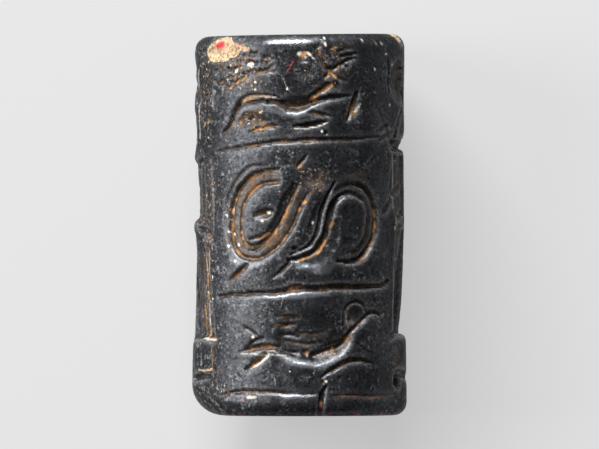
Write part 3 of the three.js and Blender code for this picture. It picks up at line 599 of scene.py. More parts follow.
# %% Bird's tail and feet
def carve_tail_and_feet():
    stroke(0.50, 0.42, [(1.4, 4.5), (2.4, 4.55), (3.2, 4.45), (4.15, 4.2)], 0.7, 0.25, 0.85)
    stroke(0.34, 0.26, [(2.4, 5.1), (3.0, 4.95), (3.7, 4.5)], 0.6, 0.4, 0.2)
    stroke(0.26, 0.16, [(2.9, 5.3), (3.4, 5.6), (4.0, 6.0)], 1, 0.3)
    stroke(0.46, 0.44, [(2.3, 4.0), (2.9, 3.6), (3.6, 3.05)], 0.9, 0.5, 0.9)
    foot = [(-5.2, 3.45), (-4.4, 3.65), (-3.5, 3.68), (-2.8, 3.4), (-2.1, 2.98), (-1.4, 2.55)]
    stroke(0.42, 0.36, foot, 0.4, 0.5, 0.6)
    stroke(0.20, 0.10, [(-7.2, 4.95), (-6.1, 4.85), (-5.5, 4.45), (-4.9, 4.2)], 0.6, 0.5, 0)
    stroke(0.20, 0.08, [(-4.9, 4.2), (-4.2, 4.6), (-3.7, 4.9)], 0.6, 0.5, 0)
    drilling(-2.6, 2.5, 0.34, 0.3, 0.16)
    drilling(-1.5, 2.25, 0.34, 0.3, 0.2)
    drilling(-5.2, 5.25, 0.3, 0.25, 0.1)


carve_tail_and_feet()
tell("bird's tail and feet")

# %% [markdown]
# ## The robed figure with a staff
#
# To the left of the front column on the clay, and so round the right side of the stone, stands a
# figure in a long robe. Its skirt is a bed that grows deeper to the hem, and a row of beads runs
# down its open edge.

# %% Robed figure
def carve_mantle_edge(middle, foot, head):
    """Slanting notches that meet in a row of Vs."""
    half_width, spacing = 0.8, 0.6
    for level in np.arange(foot, head, spacing):
        stroke(0.3, 0.24, [(middle - half_width, level + 0.35), (middle, level)], 0.5, 1)
        stroke(0.3, 0.24, [(middle, level), (middle + half_width, level + 0.35)], 1, 0.5)


def carve_robed_figure():
    drilling(-8.7, 21.9, 2.9, 2.9, 0.45)
    stroke(0.34, 0.30, [(-7.05, 23.35), (-7.08, 22.2), (-7.05, 21.1)], 0.6, 0.6, 0)
    stroke(0.30, 0.50, [(-9.9, 22.75), (-8.4, 22.5)])
    stroke(0.30, 0.50, [(-9.9, 22.05), (-8.8, 21.8)])
    drilling(-10.2, 20.9, 1.1, 1.5, 0.35)
    stroke(0.45, 0.30, [(-9.4, 20.0), (-8.4, 19.0), (-7.9, 17.9)])
    stroke(0.90, 0.80, [(-13.2, 17.0), (-11.5, 17.8), (-10, 17.6), (-7.7, 17.75)], 0.6, 1)
    stroke(0.30, 0.07, [(-7.4, 17.9), (-6.5, 19.1), (-5.6, 20.3)])
    stroke(0.30, 0.20, [(-6.8, 19.0), (-6.1, 18.7)])
    stroke(0.30, 0.20, [(-6.9, 18.4), (-6.1, 18.1)])
    stroke(0.35, 0.28, [(-12.7, 22.3), (-12.3, 20.8), (-12.3, 19.2), (-12.8, 18.2)])
    stroke(0.35, 0.24, [(-13.5, 20.6), (-13.1, 19.8)])
    stroke(0.35, 0.24, [(-13.7, 18.3), (-13, 18.6)])
    bed([(-10.9, 17.2), (-7.6, 17.4), (-6.9, 14.4), (-8.6, 12.4), (-11.2, 12.9)], 0.2, 0.3)
    stroke(0.50, 0.25, [(-9.5, 14.9), (-8.3, 14.6), (-7, 13.8), (-6.5, 13.4)])
    stroke(0.30, 0.20, [(-10.9, 13.4), (-9.9, 13.25), (-9.0, 12.95)])
    stroke(0.30, 0.20, [(-11.2, 12.85), (-9.8, 12.6), (-8.5, 12.25)])
    bead_row([(-11.2, 12.3), (-11.7, 10), (-12.25, 7.5)], 0.55, 0.38, 0.16)
    skirt = [(-11.2, 12.5), (-8.0, 12.3), (-7.7, 9), (-7.6, 5.2), (-13.4, 5.2), (-12.4, 7.0)]
    bed(skirt, 1.0, 0.15)
    stroke(0.30, 0.12, [(-12.3, 6.95), (-10.4, 6.95), (-8.1, 6.95)])
    for fold in (-12.3, -11.7, -11.05, -10.3, -9.5, -8.8, -8.2):
        stroke(0.30, 0.14, [(fold, 6.9), (fold - 0.1, 5.6)])
    stroke(0.40, 0.30, [(-8.0, 5.4), (-7.4, 5.25), (-6.9, 5.1)], 1, 0.4)
    carve_mantle_edge(-15.3, 5.7, 11.3)
    stroke(0.40, 0.30, [(-14.4, 7.2), (-13.7, 7.05), (-13.0, 6.95)])
    stroke(0.60, 0.45, [(-16, 2.25), (-14.6, 2.6), (-13.2, 2.75)], 0.5, 1)
    stroke(0.60, 0.45, [(-11.6, 2.4), (-9.7, 2.7), (-8, 2.75), (-7.6, 2.2)], 0.5, 0.8)
    drilling(-8.1, 2.2, 0.9, 1.1, 0.5)
    stroke(0.34, 0.22, [(-8.7, 17.0), (-8.6, 12.6)], 0.6, 1, 0)
    drilling(-13.6, 14.3, 2.9, 0.8, 0.42, -7)


carve_robed_figure()
tell("robed figure")

# %% [markdown]
# ## The figure in the tall hat
#
# It stands on the side that the seal lies on, walks to the left, and has a fringe down the middle
# of its robe.

# %% Figure in the tall hat
def carve_figure_in_tall_hat():
    drilling(-20.1, 21.4, 1.9, 2.4, 0.42)
    bed([(-20.7, 21.6), (-18.3, 21.6), (-18.3, 24.1), (-20.5, 24.1)], 0.35, 0.25)
    stroke(0.45, 0.30, [(-20.3, 20.4), (-20.0, 19.6), (-19.4, 18.8)])
    stroke(0.50, 0.34, [(-22.3, 19.15), (-21.2, 18.85), (-20.2, 18.7)], 0.5, 1)
    stroke(0.70, 0.45, [(-20, 18.75), (-17.8, 19.4), (-16.4, 19.1), (-14.9, 18.6)])
    stroke(0.30, 0.20, [(-18.5, 20.35), (-17, 20.15), (-15.5, 19.9)])
    bed([(-20.9, 18.6), (-15.3, 18.4), (-18.1, 14.2), (-20, 13.8)], 0.2, 0.22)
    stroke(0.30, 0.25, [(-15.2, 18.1), (-17, 16), (-18.1, 14.6)])
    bead_row([(-21, 18.5), (-20.7, 15.6), (-19.7, 14)], 0.5, 0.34, 0.18)
    stroke(0.30, 0.14, [(-20.9, 18.3), (-20.3, 17.8), (-19.7, 18.3)])
    stroke(0.35, 0.22, [(-22.4, 16.5), (-20.9, 16.45)])
    stroke(0.30, 0.20, [(-21.2, 11.9), (-20, 12.05), (-18.8, 12.15)])
    robe = [(-21.0, 13.9), (-18.2, 14.1), (-17.2, 9), (-17.3, 3.2), (-22.6, 3.2), (-21.6, 9)]
    bed(robe, 0.22, 0.16)
    stroke(0.90, 0.22, [(-21, 11), (-21.3, 7.5), (-21.7, 4.5), (-22.3, 2.6)], 0.6, 0.8)
    stroke(0.42, 0.32, [(-24.3, 1.75), (-22.5, 2.1)], 0.5, 1)
    for bar in range(7):
        level = 8.3 - 0.6 * bar
        stroke(0.30, 0.16, [(-19.45 - 0.04 * bar, level), (-18.75 - 0.04 * bar, level)])
    stroke(0.40, 0.16, [(-17.7, 12), (-17.6, 8), (-17.9, 3.2)])
    stroke(0.50, 0.40, [(-20.7, 2.6), (-19, 2.9), (-17.5, 2.7), (-16.3, 2.1)], 0.5, 0.5)


carve_figure_in_tall_hat()
tell("figure in the tall hat")

# %% [markdown]
# ## Star, club and kneeling figure
#
# Between the two standing figures come an eight-rayed star, a heavy slanting stroke and a small
# figure on one knee.

# %% Star and club
def carve_star():
    middle_around, middle_up, rays = -26.1, 22.5, 8
    for ray in range(rays):
        turn = 2 * math.pi * ray / rays + math.pi / 2
        reach = 1.6 if ray % 2 == 0 else 1.45
        cos, sin = math.cos(turn), math.sin(turn)
        root = (middle_around + 0.3 * cos, middle_up + 0.3 * sin)
        tip = (middle_around + reach * cos, middle_up + 0.85 * reach * sin)
        stroke(0.4, 0.26, [root, tip], 0.6, 0.3)
    stroke(0.30, 0.18, [(-24.6, 21.2), (-22, 21.1)])
    stroke(1.10, 0.60, [(-27.0, 19.1), (-24.9, 17.5), (-22.7, 15.9)], 0.6, 0.6)
    drilling(-23.5, 18.6, 0.5, 0.5, 0.25)


carve_star()
tell("star and club")

# %% Kneeling figure
def carve_kneeling_figure():
    drilling(-26.7, 15.2, 1.6, 1.6, 0.45)
    stroke(0.30, 0.20, [(-26, 16.0), (-25.5, 16.2)])
    stroke(0.30, 0.20, [(-27.8, 16.1), (-27.4, 15.7)])
    stroke(0.30, 0.20, [(-28.1, 15.4), (-27.4, 15.0)])
    stroke(0.30, 0.20, [(-26.3, 15.2), (-24.6, 14.4), (-23.3, 14.7)])
    drilling(-27.9, 13.7, 0.4, 0.35, 0.2)
    drilling(-27.9, 13.2, 0.4, 0.35, 0.2)
    stroke(0.65, 0.42, [(-29.8, 12.2), (-28, 11.8), (-26.3, 11.7), (-25.2, 11.0), (-24.6, 10.5)], 0.5, 0.6)
    stroke(0.90, 0.32, [(-27.4, 14.3), (-27.8, 11.5), (-28.2, 9.8), (-28.7, 8.3)])
    stroke(0.95, 0.60, [(-28.8, 7.6), (-27, 7.75), (-25.2, 7.6)])
    stroke(0.60, 0.45, [(-25.3, 7.2), (-25.9, 6.1), (-26.5, 5.0)])
    stroke(0.70, 0.48, [(-27, 4.1), (-25.8, 4.05), (-24.5, 3.5)], 0.6, 0.6)
    stroke(0.30, 0.20, [(-28.5, 2.9), (-27.8, 2.5), (-26.9, 3.3)])
    stroke(0.30, 0.20, [(-30.1, 7.6), (-30, 6.9), (-29.3, 6.4), (-28.3, 6.2)])
    drilling(-30.3, 8.5, 0.4, 0.4, 0.2)
    drilling(-30.4, 7.8, 0.4, 0.4, 0.2)
    stroke(0.30, 0.20, [(-30.3, 10.9), (-29.7, 10.3)])
    stroke(0.30, 0.24, [(-28.6, 15.8), (-29.2, 14.3), (-29.7, 12.9)])


carve_kneeling_figure()
tell("kneeling figure")

# %% [markdown]
# ## The figure in the brimmed hat
#
# It wraps round the left side of the stone. Its pleated skirt ends in the deepest cut of all, the
# ledge that shows in the outline above the foot of the seal.

# %% Figure in the brimmed hat
def carve_figure_in_brimmed_hat():
    drilling(-32.8, 21.7, 5.1, 1.5, 0.34, 25)
    drilling(-32.6, 22.9, 2.2, 1.5, 0.28)
    drilling(-32.6, 18.6, 2.7, 2.9, 0.34)
    ring(-32.0, 19.7, 0.35, 0.25, 0.2, 0.1)
    stroke(0.38, 0.30, [(-35.5, 16.7), (-34.7, 16.85), (-33.6, 16.2)], 0.5, 1)
    bed([(-34.9, 16.9), (-30.3, 16.9), (-29.9, 12.9), (-34.9, 12.5)], 0.35, 0.2)
    stroke(0.30, 0.18, [(-31.5, 15.5), (-30.8, 15.75), (-30.2, 15.4)])
    for rib in range(4):
        level = 13.2 + 0.55 * rib
        stroke(0.30, 0.14, [(-33.1, level), (-32.3, level + 0.12), (-31.4, level)])
    stroke(0.50, 0.36, [(-36.6, 11.75), (-36.0, 12.05), (-34.4, 12.35)], 0.5, 1)
    stroke(0.50, 0.36, [(-31.9, 13.1), (-30.8, 12.9), (-29.7, 12.6)], 1, 0.5)
    skirt = [(-35.7, 12.2), (-30.9, 12.4), (-31.4, 8), (-31.6, 4.9), (-37.0, 4.9), (-36.6, 8)]
    bed(skirt, 0.5, 0.08)
    for fold in (-36.2, -35.5, -34.8, -33.9, -33.0, -32.2):
        lean = 0.07 * (fold + 33.7)
        stroke(0.26, 0.14, [(fold - 2 * lean, 11.0), (fold, 7.5), (fold + lean, 5.3)], 0.5, 1, 0.9)
    stroke(0.36, 0.26, [(-37.3, 4.95), (-36.9, 5.05), (-36.4, 5.1)], 0.5, 1, 0.8)
    for crease in (-36.8, -35.9, -35.4, -34.6):
        stroke(0.30, 0.12, [(crease + 0.25, 17.0), (crease, 14.6), (crease - 0.1, 12.2)], 0.5, 0.8, 0.1)
    stroke(0.22, 0.10, [(-36.9, 4.7), (-36.8, 4.0), (-36.9, 3.4)], 0.6, 0.6, 0.5)
    stroke(0.50, 0.38, [(-36.6, 2.6), (-35.2, 2.6), (-33.7, 2.45)], 0.5, 1)
    stroke(0.45, 0.36, [(-31.7, 2.2), (-31.0, 2.4), (-29.3, 2.1)], 0.7, 0.5)


carve_figure_in_brimmed_hat()
tell("figure in the brimmed hat")

# %% [markdown]
# ## Knocks and wear
#
# The rims have lost flakes, and the whole face is a little uneven from use. The marks are kept
# apart from the carving, because they get another finish.

# %% Flakes and unevenness
def soften(field, times):
    """Spread a field over its neighbours."""
    for _ in range(times):
        field = (np.roll(field, 1, axis=1) + 2 * field + np.roll(field, -1, axis=1)) / 4
        below = np.vstack([field[:1], field[:-1]])
        above = np.vstack([field[1:], field[-1:]])
        field = (below + 2 * field + above) / 4
    return field


flakes = np.zeros_like(cuts)
# around, up, length, width, depth and turn of each knock; the first four make the large chip
knocks = (
    (6.1, 24.1, 3.0, 1.7, 0.34, -14),
    (4.9, 24.05, 1.7, 1.1, 0.24, 5),
    (3.9, 24.15, 1.2, 0.5, 0.16, 12),
    (5.6, 23.5, 1.3, 0.6, 0.16, -5),
    (11.85, 25.2, 3.4, 2.0, 0.7, 0),
    (-9.4, 24.9, 2.0, 1.0, 0.3, 0),
    (-17.6, 0.1, 2.6, 1.2, 0.35, 0),
)
for knock in knocks:
    drilling(*knock, field=flakes)
flakes *= 1 + 0.18 * hills(0.25, 5)
unevenness = 0.012 * hills(2.5, 3) + 0.004 * hills(0.3, 4)
carved = beds + cuts + flakes
carved += 0.012 * hills(0.3, 6) * np.clip(carved / 0.3, 0, 1)
crisp_share, spread_share = 0.72, 0.4      # the edges of the cuts have worn round
sunk = crisp_share * carved + spread_share * soften(carved, 14) + unevenness
print(len(knocks), "knocks, deepest", round(float(flakes.max()), 2), "mm")

# %% [markdown]
# ## Rolling the sheet up
#
# A grid is added with the operator, one vertex for each place on the sheet. Its vertices are then
# laid on the turned stone, each as far below the surface as the carving asks. A curl by modifier
# would keep the stone a plain tube, and this one is slightly waisted, tapered and worn at one rim.

# %% Grid
def add_grid():
    bpy.ops.object.select_all(action="DESELECT")
    bpy.ops.mesh.primitive_grid_add(x_subdivisions=columns, y_subdivisions=rows, size=1)
    piece = bpy.context.object
    piece.name = "carved_seal"
    return piece


seal = add_grid()
flat_places = np.empty(3 * len(seal.data.vertices))
seal.data.vertices.foreach_get("co", flat_places)
flat_places = flat_places.reshape(-1, 3)
column_of = np.rint((flat_places[:, 0] + 0.5) * columns).astype(int) % columns
row_of = np.rint((flat_places[:, 1] + 0.5) * rows).astype(int)
print("grid with", len(flat_places), "vertices")

# %% Turned shape
def outer_radius_at(height):
    share = height / seal_length
    waist = waist_wear * np.sin(math.pi * np.clip(share, 0, 1))
    return lower_radius + (upper_radius - lower_radius) * share - waist


def rim_inset(radius, to_end):
    """How far the rounding of a rim draws the side in, close to an end."""
    hidden = radius - np.minimum(to_end, radius)
    return radius - np.sqrt(np.maximum(radius**2 - hidden**2, 0))


def worn_radius(place_around, height, depth):
    gap = (place_around - worn_rim_around + girth / 2) % girth - girth / 2
    near = np.clip(1 - np.abs(gap) / worn_rim_reach, 0, 1)
    extra = near * near * (3 - 2 * near) * (worn_rim_radius - rim_radius)
    at_foot = rim_inset(rim_radius + extra, height)
    at_head = rim_inset(rim_radius, seal_length - height)
    return outer_radius_at(height) - np.maximum(at_foot, at_head) - depth


def place_on_stone(place_around, height, radius):
    """From a place on the picture and a distance from the axis to metres in the frame."""
    turn = -2 * math.pi * place_around / girth
    x = radius * np.sin(turn)
    z = radius * np.cos(turn) + axis_height
    lift = upper_end_slope / 2 * (x / upper_radius - 1) * height / seal_length
    y = frame_low[1] / mm + (height + lift) * frame_length / seal_length
    return np.stack([x * mm, y * mm, np.maximum(z, 0) * mm], axis=-1)


sheet_around, sheet_up = np.meshgrid(around, up)
rolled = place_on_stone(sheet_around, sheet_up, worn_radius(sheet_around, sheet_up, sunk))
seal.data.vertices.foreach_set("co", rolled[row_of, column_of].ravel())
seal.data.update()
rolled_size = np.ptp(rolled.reshape(-1, 3), axis=0) / mm
print("rolled up to", [round(float(v), 2) for v in rolled_size], "mm")

# %% Marks for the finish
def store(name, field):
    """Keep a field on the vertices, where the material can read it."""
    attribute = seal.data.attributes.new(name, "FLOAT", "POINT")
    attribute.data.foreach_set("value", np.clip(field, 0, 1)[row_of, column_of])


# the lips get a pale paint in the finish, partly as rubbed wear and partly as painted highlight
lips = np.clip((soften(carved, 8) - carved) / 0.08, 0, 1)
store("lips", lips)
store("flakes", flakes / 0.12)
print(f"lips on {100 * float((lips > 0.3).mean()):.0f}% of the face")

# %% [markdown]
# ## What the ages left, and painted highlights
#
# Ochre earth has stayed in many of the cuts, and the strokes have already laid it. Pale lime sits in
# a few places, with small white dots, crumbs of crust and traces of red paint. On some lips and rims
# a pale, glossy painted highlight is laid where the lamps would glint. All of these are laid on the
# sheet with the same tools as the carving, into fields of their own, and the finish reads these
# fields from the vertices.

# %% Fields and ways to lay a mark
lime = np.zeros_like(cuts)
paint = np.zeros_like(cuts)
crust = np.zeros_like(cuts)
gloss_and_painted_highlight = np.zeros_like(cuts)


def patches(field, *spots):
    """Round or oval marks: around, up, length, width, strength and turn."""
    for spot in spots:
        drilling(*spot, field=field)


def dots(places, size, strength, field):
    patches(field, *((place_around, place_up, size, size, strength) for place_around, place_up in places))


def streaks(width, strength, spans, field):
    """Upright lines that bow a little: around, foot and head."""
    for place, foot, head in spans:
        middle = (place + 0.05, (foot + head) / 2)
        stroke(width, strength, [(place, head), middle, (place, foot)], 0.5, 1, field=field)


left_ground = [(-7.3, 1.35), (-5.0, 1.3), (-2.4, 1.35)]
side_edge = [(-8.2, 17.0), (-8.1, 13.0), (-7.9, 10.0), (-7.5, 7.0)]
ledge = [(6.5, 5.0), (7.4, 5.05), (8.6, 5.05)]
foot_line = [(6.6, 3.1), (7.4, 3.0), (8.6, 3.0)]
print("fields ready: lime, paint, crust, polish")

# %% Ochre
def lay_ochre_patches():
    patches(
        ochre,
        (-1.4, 0.75, 0.36, 0.8, 0.9), (-7.7, 3.9, 1.6, 1.6, 0.4),
        (-0.15, 23.62, 1.0, 0.62, 1.0, -30), (-0.9, 20.7, 1.3, 0.7, 1.0, -20),
        (0.4, 20.45, 3.6, 1.1, 0.42, -8), (3.4, 19.6, 2.4, 1.0, 0.62, -25),
        (2.6, 19.2, 1.6, 0.5, 0.55, 10), (0.0, 13.6, 0.6, 0.5, 0.6),
        # the two patches at (-0.9, 15.3) and (-1.0, 15.5) are partly ochre and partly painted shade: dark
        # brown in the shallow hollow between the bosses, in place of the shadow of a deeper hollow
        (-0.9, 15.3, 2.4, 1.6, 0.5, -20), (-1.0, 15.5, 0.7, 0.4, 0.8, -20),
        (-4.0, 15.7, 2.4, 0.5, 0.5, -5), (0.05, 16.35, 0.7, 0.4, 0.8, -10),
    )
    dots([(-3.1, 6.1), (-3.05, 6.8), (-3.9, 7.3), (-3.6, 5.6)], 0.4, 0.6, ochre)
    dots([(-2.2, 21.6), (-1.8, 21.2), (-1.2, 21.2), (-2.4, 22.2), (-2.6, 22.8)], 0.45, 1.0, ochre)


def lay_ochre_lines():
    stroke(0.20, 0.6, left_ground, 1, 1, field=ochre)
    stroke(0.20, 0.5, [(0.0, 1.55), (2.5, 1.62), (4.5, 1.58), (5.6, 1.3)], 1, 1, field=ochre)
    stroke(0.36, 0.62, side_edge + [(-7.35, 6.2)], field=ochre)
    by_left_boss = [(-2.3, 12.75), (-2.05, 12.2), (-1.85, 11.6), (-1.5, 11.0), (-0.9, 10.45), (0.0, 10.2)]
    stroke(0.22, 1.0, by_left_boss, field=ochre)
    stroke(0.24, 1.0, [(-1.1, 14.9), (-0.6, 14.3), (-0.2, 13.7)], 0.5, 0.5, field=ochre)
    stroke(0.26, 0.8, [(-5.3, 11.2), (-4.9, 10.7), (-4.4, 10.2), (-3.3, 9.95)], 0.5, 0.5, field=ochre)
    streaks(0.34, 0.9, ((7.05, 5.4, 12.0), (7.75, 5.2, 11.8), (8.5, 5.4, 10.0)), ochre)
    for place in (6.9, 7.6, 8.3):
        stroke(0.26, 0.42, [(place + 0.3, 17.2), (place, 14.5), (place, 12.0)], 0.5, 1, field=ochre)
    stroke(0.16, 0.8, [(6.65, 4.9), (6.7, 4.0), (6.65, 3.3)], field=ochre)
    stroke(0.20, 0.9, ledge, field=ochre)
    stroke(0.26, 0.9, foot_line, field=ochre)


lay_ochre_patches()
lay_ochre_lines()
print(f"ochre laid on {100 * float((ochre > 0.4).mean()):.0f}% of the sheet")

# %% Lime
def lay_lime_patches():
    patches(
        lime,
        (-0.62, 23.72, 0.62, 0.26, 1.0, 35), (-0.35, 23.46, 0.5, 0.2, 0.8, -25),
        (0.02, 23.72, 0.5, 0.28, 0.7, -40), (-0.15, 23.4, 0.3, 0.18, 0.6, 60),
        (-0.9, 23.42, 0.4, 0.2, 0.6, 30), (4.5, 22.7, 0.5, 0.26, 0.9, -40),
        (3.4, 23.1, 0.6, 0.25, 1.0, -5), (2.1, 13.35, 0.4, 0.25, 0.8),
        # the patch at (0.55, 3.74) is a painted highlight: a pale grey glint on the bird's belly, laid with
        # the lime colour
        (0.55, 3.74, 0.8, 0.3, 0.3, 6), (3.15, 5.2, 0.3, 0.26, 0.8),
        (3.2, 1.25, 1.0, 0.3, 0.5),
    )
    dots([(3.0, 21.9), (3.0, 21.4), (-5.5, 22.7), (-4.5, 24.6), (-1.7, 24.7), (-1.7, 24.3)], 0.22, 1.0, lime)
    dots([(5.3, 13.2), (5.2, 12.1), (5.1, 11.2), (4.5, 10.2), (4.75, 12.0), (4.4, 11.25)], 0.24, 1.0, lime)
    dots([(3.3, 23.0), (2.5, 12.8), (-1.5, 18.6), (-0.9, 12.65), (0.8, 21.4), (-1.7, 2.3)], 0.22, 1.0, lime)
    dots([(-7.45, 21.6), (-7.45, 22.3), (-7.5, 23.0), (-7.1, 20.3), (-6.2, 24.35)], 0.3, 0.55, lime)
    dots([(-5.6, 24.3)], 0.3, 0.55, lime)


def lay_lime_lines():
    streaks(0.22, 0.5, ((7.05, 5.6, 11.0), (7.8, 6.0, 11.6)), lime)
    stroke(0.16, 0.5, ledge, field=lime)
    stroke(0.16, 0.4, foot_line, field=lime)
    stroke(0.22, 0.32, side_edge, field=lime)
    stroke(0.30, 0.45, [(8.8, 22.8), (8.75, 20.5), (8.6, 18.3)], field=lime)
    stroke(0.10, 0.34, [(1.8, 22.6), (1.1, 22.2), (0.9, 21.6), (0.8, 21.4)], 0.6, 1, field=lime)
    stroke(0.26, 0.75, [(2.1, 3.88), (2.7, 3.5), (3.4, 3.02)], 1, 0.6, field=lime)
    stroke(0.14, 0.55, [(0.9, 4.02), (2.0, 4.0), (3.0, 4.05), (4.0, 4.08)], 1, 0.6, field=lime)
    stroke(0.10, 0.35, [(1.1, 8.0), (1.15, 7.1)], 1, 0.5, field=lime)
    stroke(0.10, 0.35, [(1.6, 2.7), (1.55, 1.8)], 1, 0.5, field=lime)
    stroke(0.24, 0.6, [(-4.25, 20.4), (-3.9, 19.9)], 1, 1, field=lime)
    stroke(0.16, 0.6, [(1.6, 20.9), (2.6, 21.0), (3.6, 20.9), (4.2, 20.5)], 1, 1, field=lime)
    stroke(0.14, 0.3, [(-1.7, 19.08), (-0.6, 18.85), (0.3, 18.8)], 1, 1, field=lime)


lay_lime_patches()
lay_lime_lines()
print(f"lime laid on {100 * float((lime > 0.3).mean()):.1f}% of the sheet")

# %% Painted highlights, with a lower roughness
def lay_gloss_and_painted_highlights():
    """Painted highlights with a lower roughness, on lips and rims. Width, strength, share left at the ends,
    and route.
    """
    for width, strength, ends, route in (
        (0.5, 0.55, 0.5, [(-1.4, 24.6), (0.5, 24.55), (2.2, 24.6)]),
        (0.5, 0.45, 0.5, [(-2.0, 7.95), (0.5, 7.9), (3.5, 7.85)]),
        (0.6, 0.45, 0.6, [(-3.0, 4.0), (-1.5, 3.4), (0.3, 3.5), (1.2, 3.8)]),
        (0.5, 0.45, 0.6, [(-1.0, 1.4), (0.5, 1.4), (1.2, 1.4)]),
        (0.5, 0.4, 0.6, [(-2.2, 20.6), (-0.6, 19.9), (0.4, 19.7), (2.2, 20.1)]),
        (0.7, 0.32, 0.6, [(0.4, 10.0), (-0.8, 9.68), (-1.8, 9.6), (-2.4, 10.1)]),
        (0.5, 0.3, 0.6, [(4.9, 10.3), (4.0, 9.95), (2.8, 10.0), (1.6, 10.6)]),
    ):
        stroke(width, strength, route, ends, ends, field=gloss_and_painted_highlight)
    patches(gloss_and_painted_highlight, (0.4, 3.62, 1.5, 0.5, 1.0, 6), (-0.6, 3.42, 1.2, 0.34, 0.9, -8))


lay_gloss_and_painted_highlights()
print(f"polish laid on {100 * float((gloss_and_painted_highlight > 0.2).mean()):.1f}% of the sheet")

# %% Crust and red paint
def lay_crust():
    patches(
        crust,
        (4.0, 22.6, 5.0, 3.0, 0.62), (3.5, 19.5, 2.6, 1.7, 0.42), (7.6, 21.0, 1.8, 7.0, 0.45),
        (7.6, 10.5, 1.8, 9.0, 0.45), (7.0, 14.5, 1.6, 6.0, 0.30), (-1.8, 22.6, 3.0, 3.4, 0.35),
        (6.4, 1.9, 4.6, 3.0, 0.22), (5.0, 12.4, 1.0, 4.6, 0.30), (-0.9, 15.4, 3.0, 1.8, 0.35),
    )


def lay_paint():
    patches(paint, (6.25, 24.35, 1.3, 0.55, 1.0, -10), (-1.4, 0.75, 0.3, 0.7, 0.6))
    dots([(4.6, 24.2), (5.1, 23.9), (3.7, 24.2)], 0.3, 0.5, paint)
    dots([(4.0, 1.1), (3.7, 1.55), (1.2, 14.7), (5.4, 23.6)], 0.2, 0.9, paint)
    stroke(0.12, 0.7, [(0.4, 23.2), (0.8, 22.6)], 1, 1, field=paint)
    stroke(0.16, 0.35, left_ground, 1, 1, field=paint)
    stroke(0.16, 0.3, [(1.0, 1.55), (2.5, 1.62), (4.5, 1.58), (5.6, 1.3)], 1, 1, field=paint)


lay_crust()
lay_paint()
print(f"paint laid on {100 * float((paint > 0.3).mean()):.1f}% of the sheet")

# %% Uneven spread, and the fields for the finish
deep = np.clip((carved - 0.12) / 0.35, 0, 1)
patchy = np.clip(0.5 + 0.6 * hills(0.7, 7), 0, 1) * np.clip(0.6 + 0.5 * hills(0.25, 8), 0, 1)
ochre = np.maximum(ochre * np.clip(0.85 + 0.35 * hills(0.25, 9), 0, 1), 0.45 * deep * patchy)
# a patchy dark red tint within 0.6 mm of the lower end
red_near_lower_end = np.clip(1 - sheet_up / 0.6, 0, 1) * np.clip(0.2 + 0.6 * hills(0.3, 10), 0, 1)
paint = np.maximum(paint, 0.6 * red_near_lower_end)
# painted light: pale clouds and specks thicken towards +around, the side that faces the left lamp; the hills
# add uneven wear
painted_light_toward_left_lamp = np.clip(sheet_around / 6 + 0.2, 0, 1)
wear_and_painted_side_light = np.clip(0.32 + 0.5 * painted_light_toward_left_lamp + 0.22 * hills(1.2, 11), 0, 1)
layers = {"wear_and_painted_side_light": wear_and_painted_side_light, "crust": crust, "gloss_and_painted_highlight": gloss_and_painted_highlight, "ochre": ochre, "lime": lime, "paint": paint}
for layer_name, layer_field in layers.items():
    store(layer_name, layer_field)
print("stored:", ", ".join(layers))

# %% [markdown]
# ## Ends and bore
#
# The rolled sheet is a tube with open ends. The seam is welded, each rim is extruded inwards in
# rings to the mouth of the bore, and the two mouths are joined by bridging.

# %% Rings of the ends
def bore_radius_at(height):
    from_middle = np.abs(2 * height / seal_length - 1)
    return bore_radius + (bore_mouth_radius - bore_radius) * from_middle**3


def select_edge_ring(at_top):
    """Select the open edges at one end."""
    mesh = bmesh.from_edit_mesh(seal.data)
    for part in (mesh.verts, mesh.edges, mesh.faces):
        for item in part:
            item.select = False
    for edge in mesh.edges:
        if edge.is_boundary and (edge.verts[0].co.y > 0) == at_top:
            edge.select = True
    mesh.select_flush(True)
    bmesh.update_edit_mesh(seal.data)


def lay_ring(height, share_in, dish):
    """Lay the selected ring between the rim and the bore. Only the first keeps half of the marks."""
    mesh = bmesh.from_edit_mesh(seal.data)
    marks = [mesh.verts.layers.float[name] for name in rim_marks]
    kept = 0.5 if share_in == end_rings[0][0] else 0.0
    for vertex in [v for v in mesh.verts if v.select]:
        for field in marks:
            vertex[field] *= kept
        x, z = vertex.co.x / mm, vertex.co.z / mm - axis_height
        radius = math.hypot(x, z)
        mouth = bore_radius_at(height)
        wanted = mouth + (radius - mouth) * (1 - share_in)
        place_around = -math.atan2(x, z) / (2 * math.pi) * girth
        inward = dish if height < seal_length / 2 else -dish
        vertex.co = place_on_stone(place_around, height + inward, wanted)
    bmesh.update_edit_mesh(seal.data)


rim_marks = ("lips", "flakes", "ochre", "lime", "paint", "crust", "gloss_and_painted_highlight")
# each ring's share of the way that is left to the bore, and how far it lies below the end
end_rings = ((0.12, 0.0), (0.3, 0.02), (0.45, 0.03), (0.6, 0.04), (0.75, 0.06), (1, 0.25))


def close_end(at_top):
    height = seal_length if at_top else 0.0
    select_edge_ring(at_top)
    for share_in, dish in end_rings:
        bpy.ops.mesh.extrude_edges_move()
        lay_ring(height, share_in, dish)


print(len(end_rings), "rings to each end")

# %% Weld the seam and close the ends
bpy.ops.object.mode_set(mode="EDIT")
bpy.ops.mesh.select_all(action="SELECT")
bpy.ops.mesh.remove_doubles(threshold=0.001 * mm)
bpy.ops.mesh.select_mode(type="EDGE")
close_end(True)
close_end(False)
bpy.ops.object.mode_set(mode="OBJECT")
print("ends closed down to the bore")

# %% Bore
rings_along_bore = 9


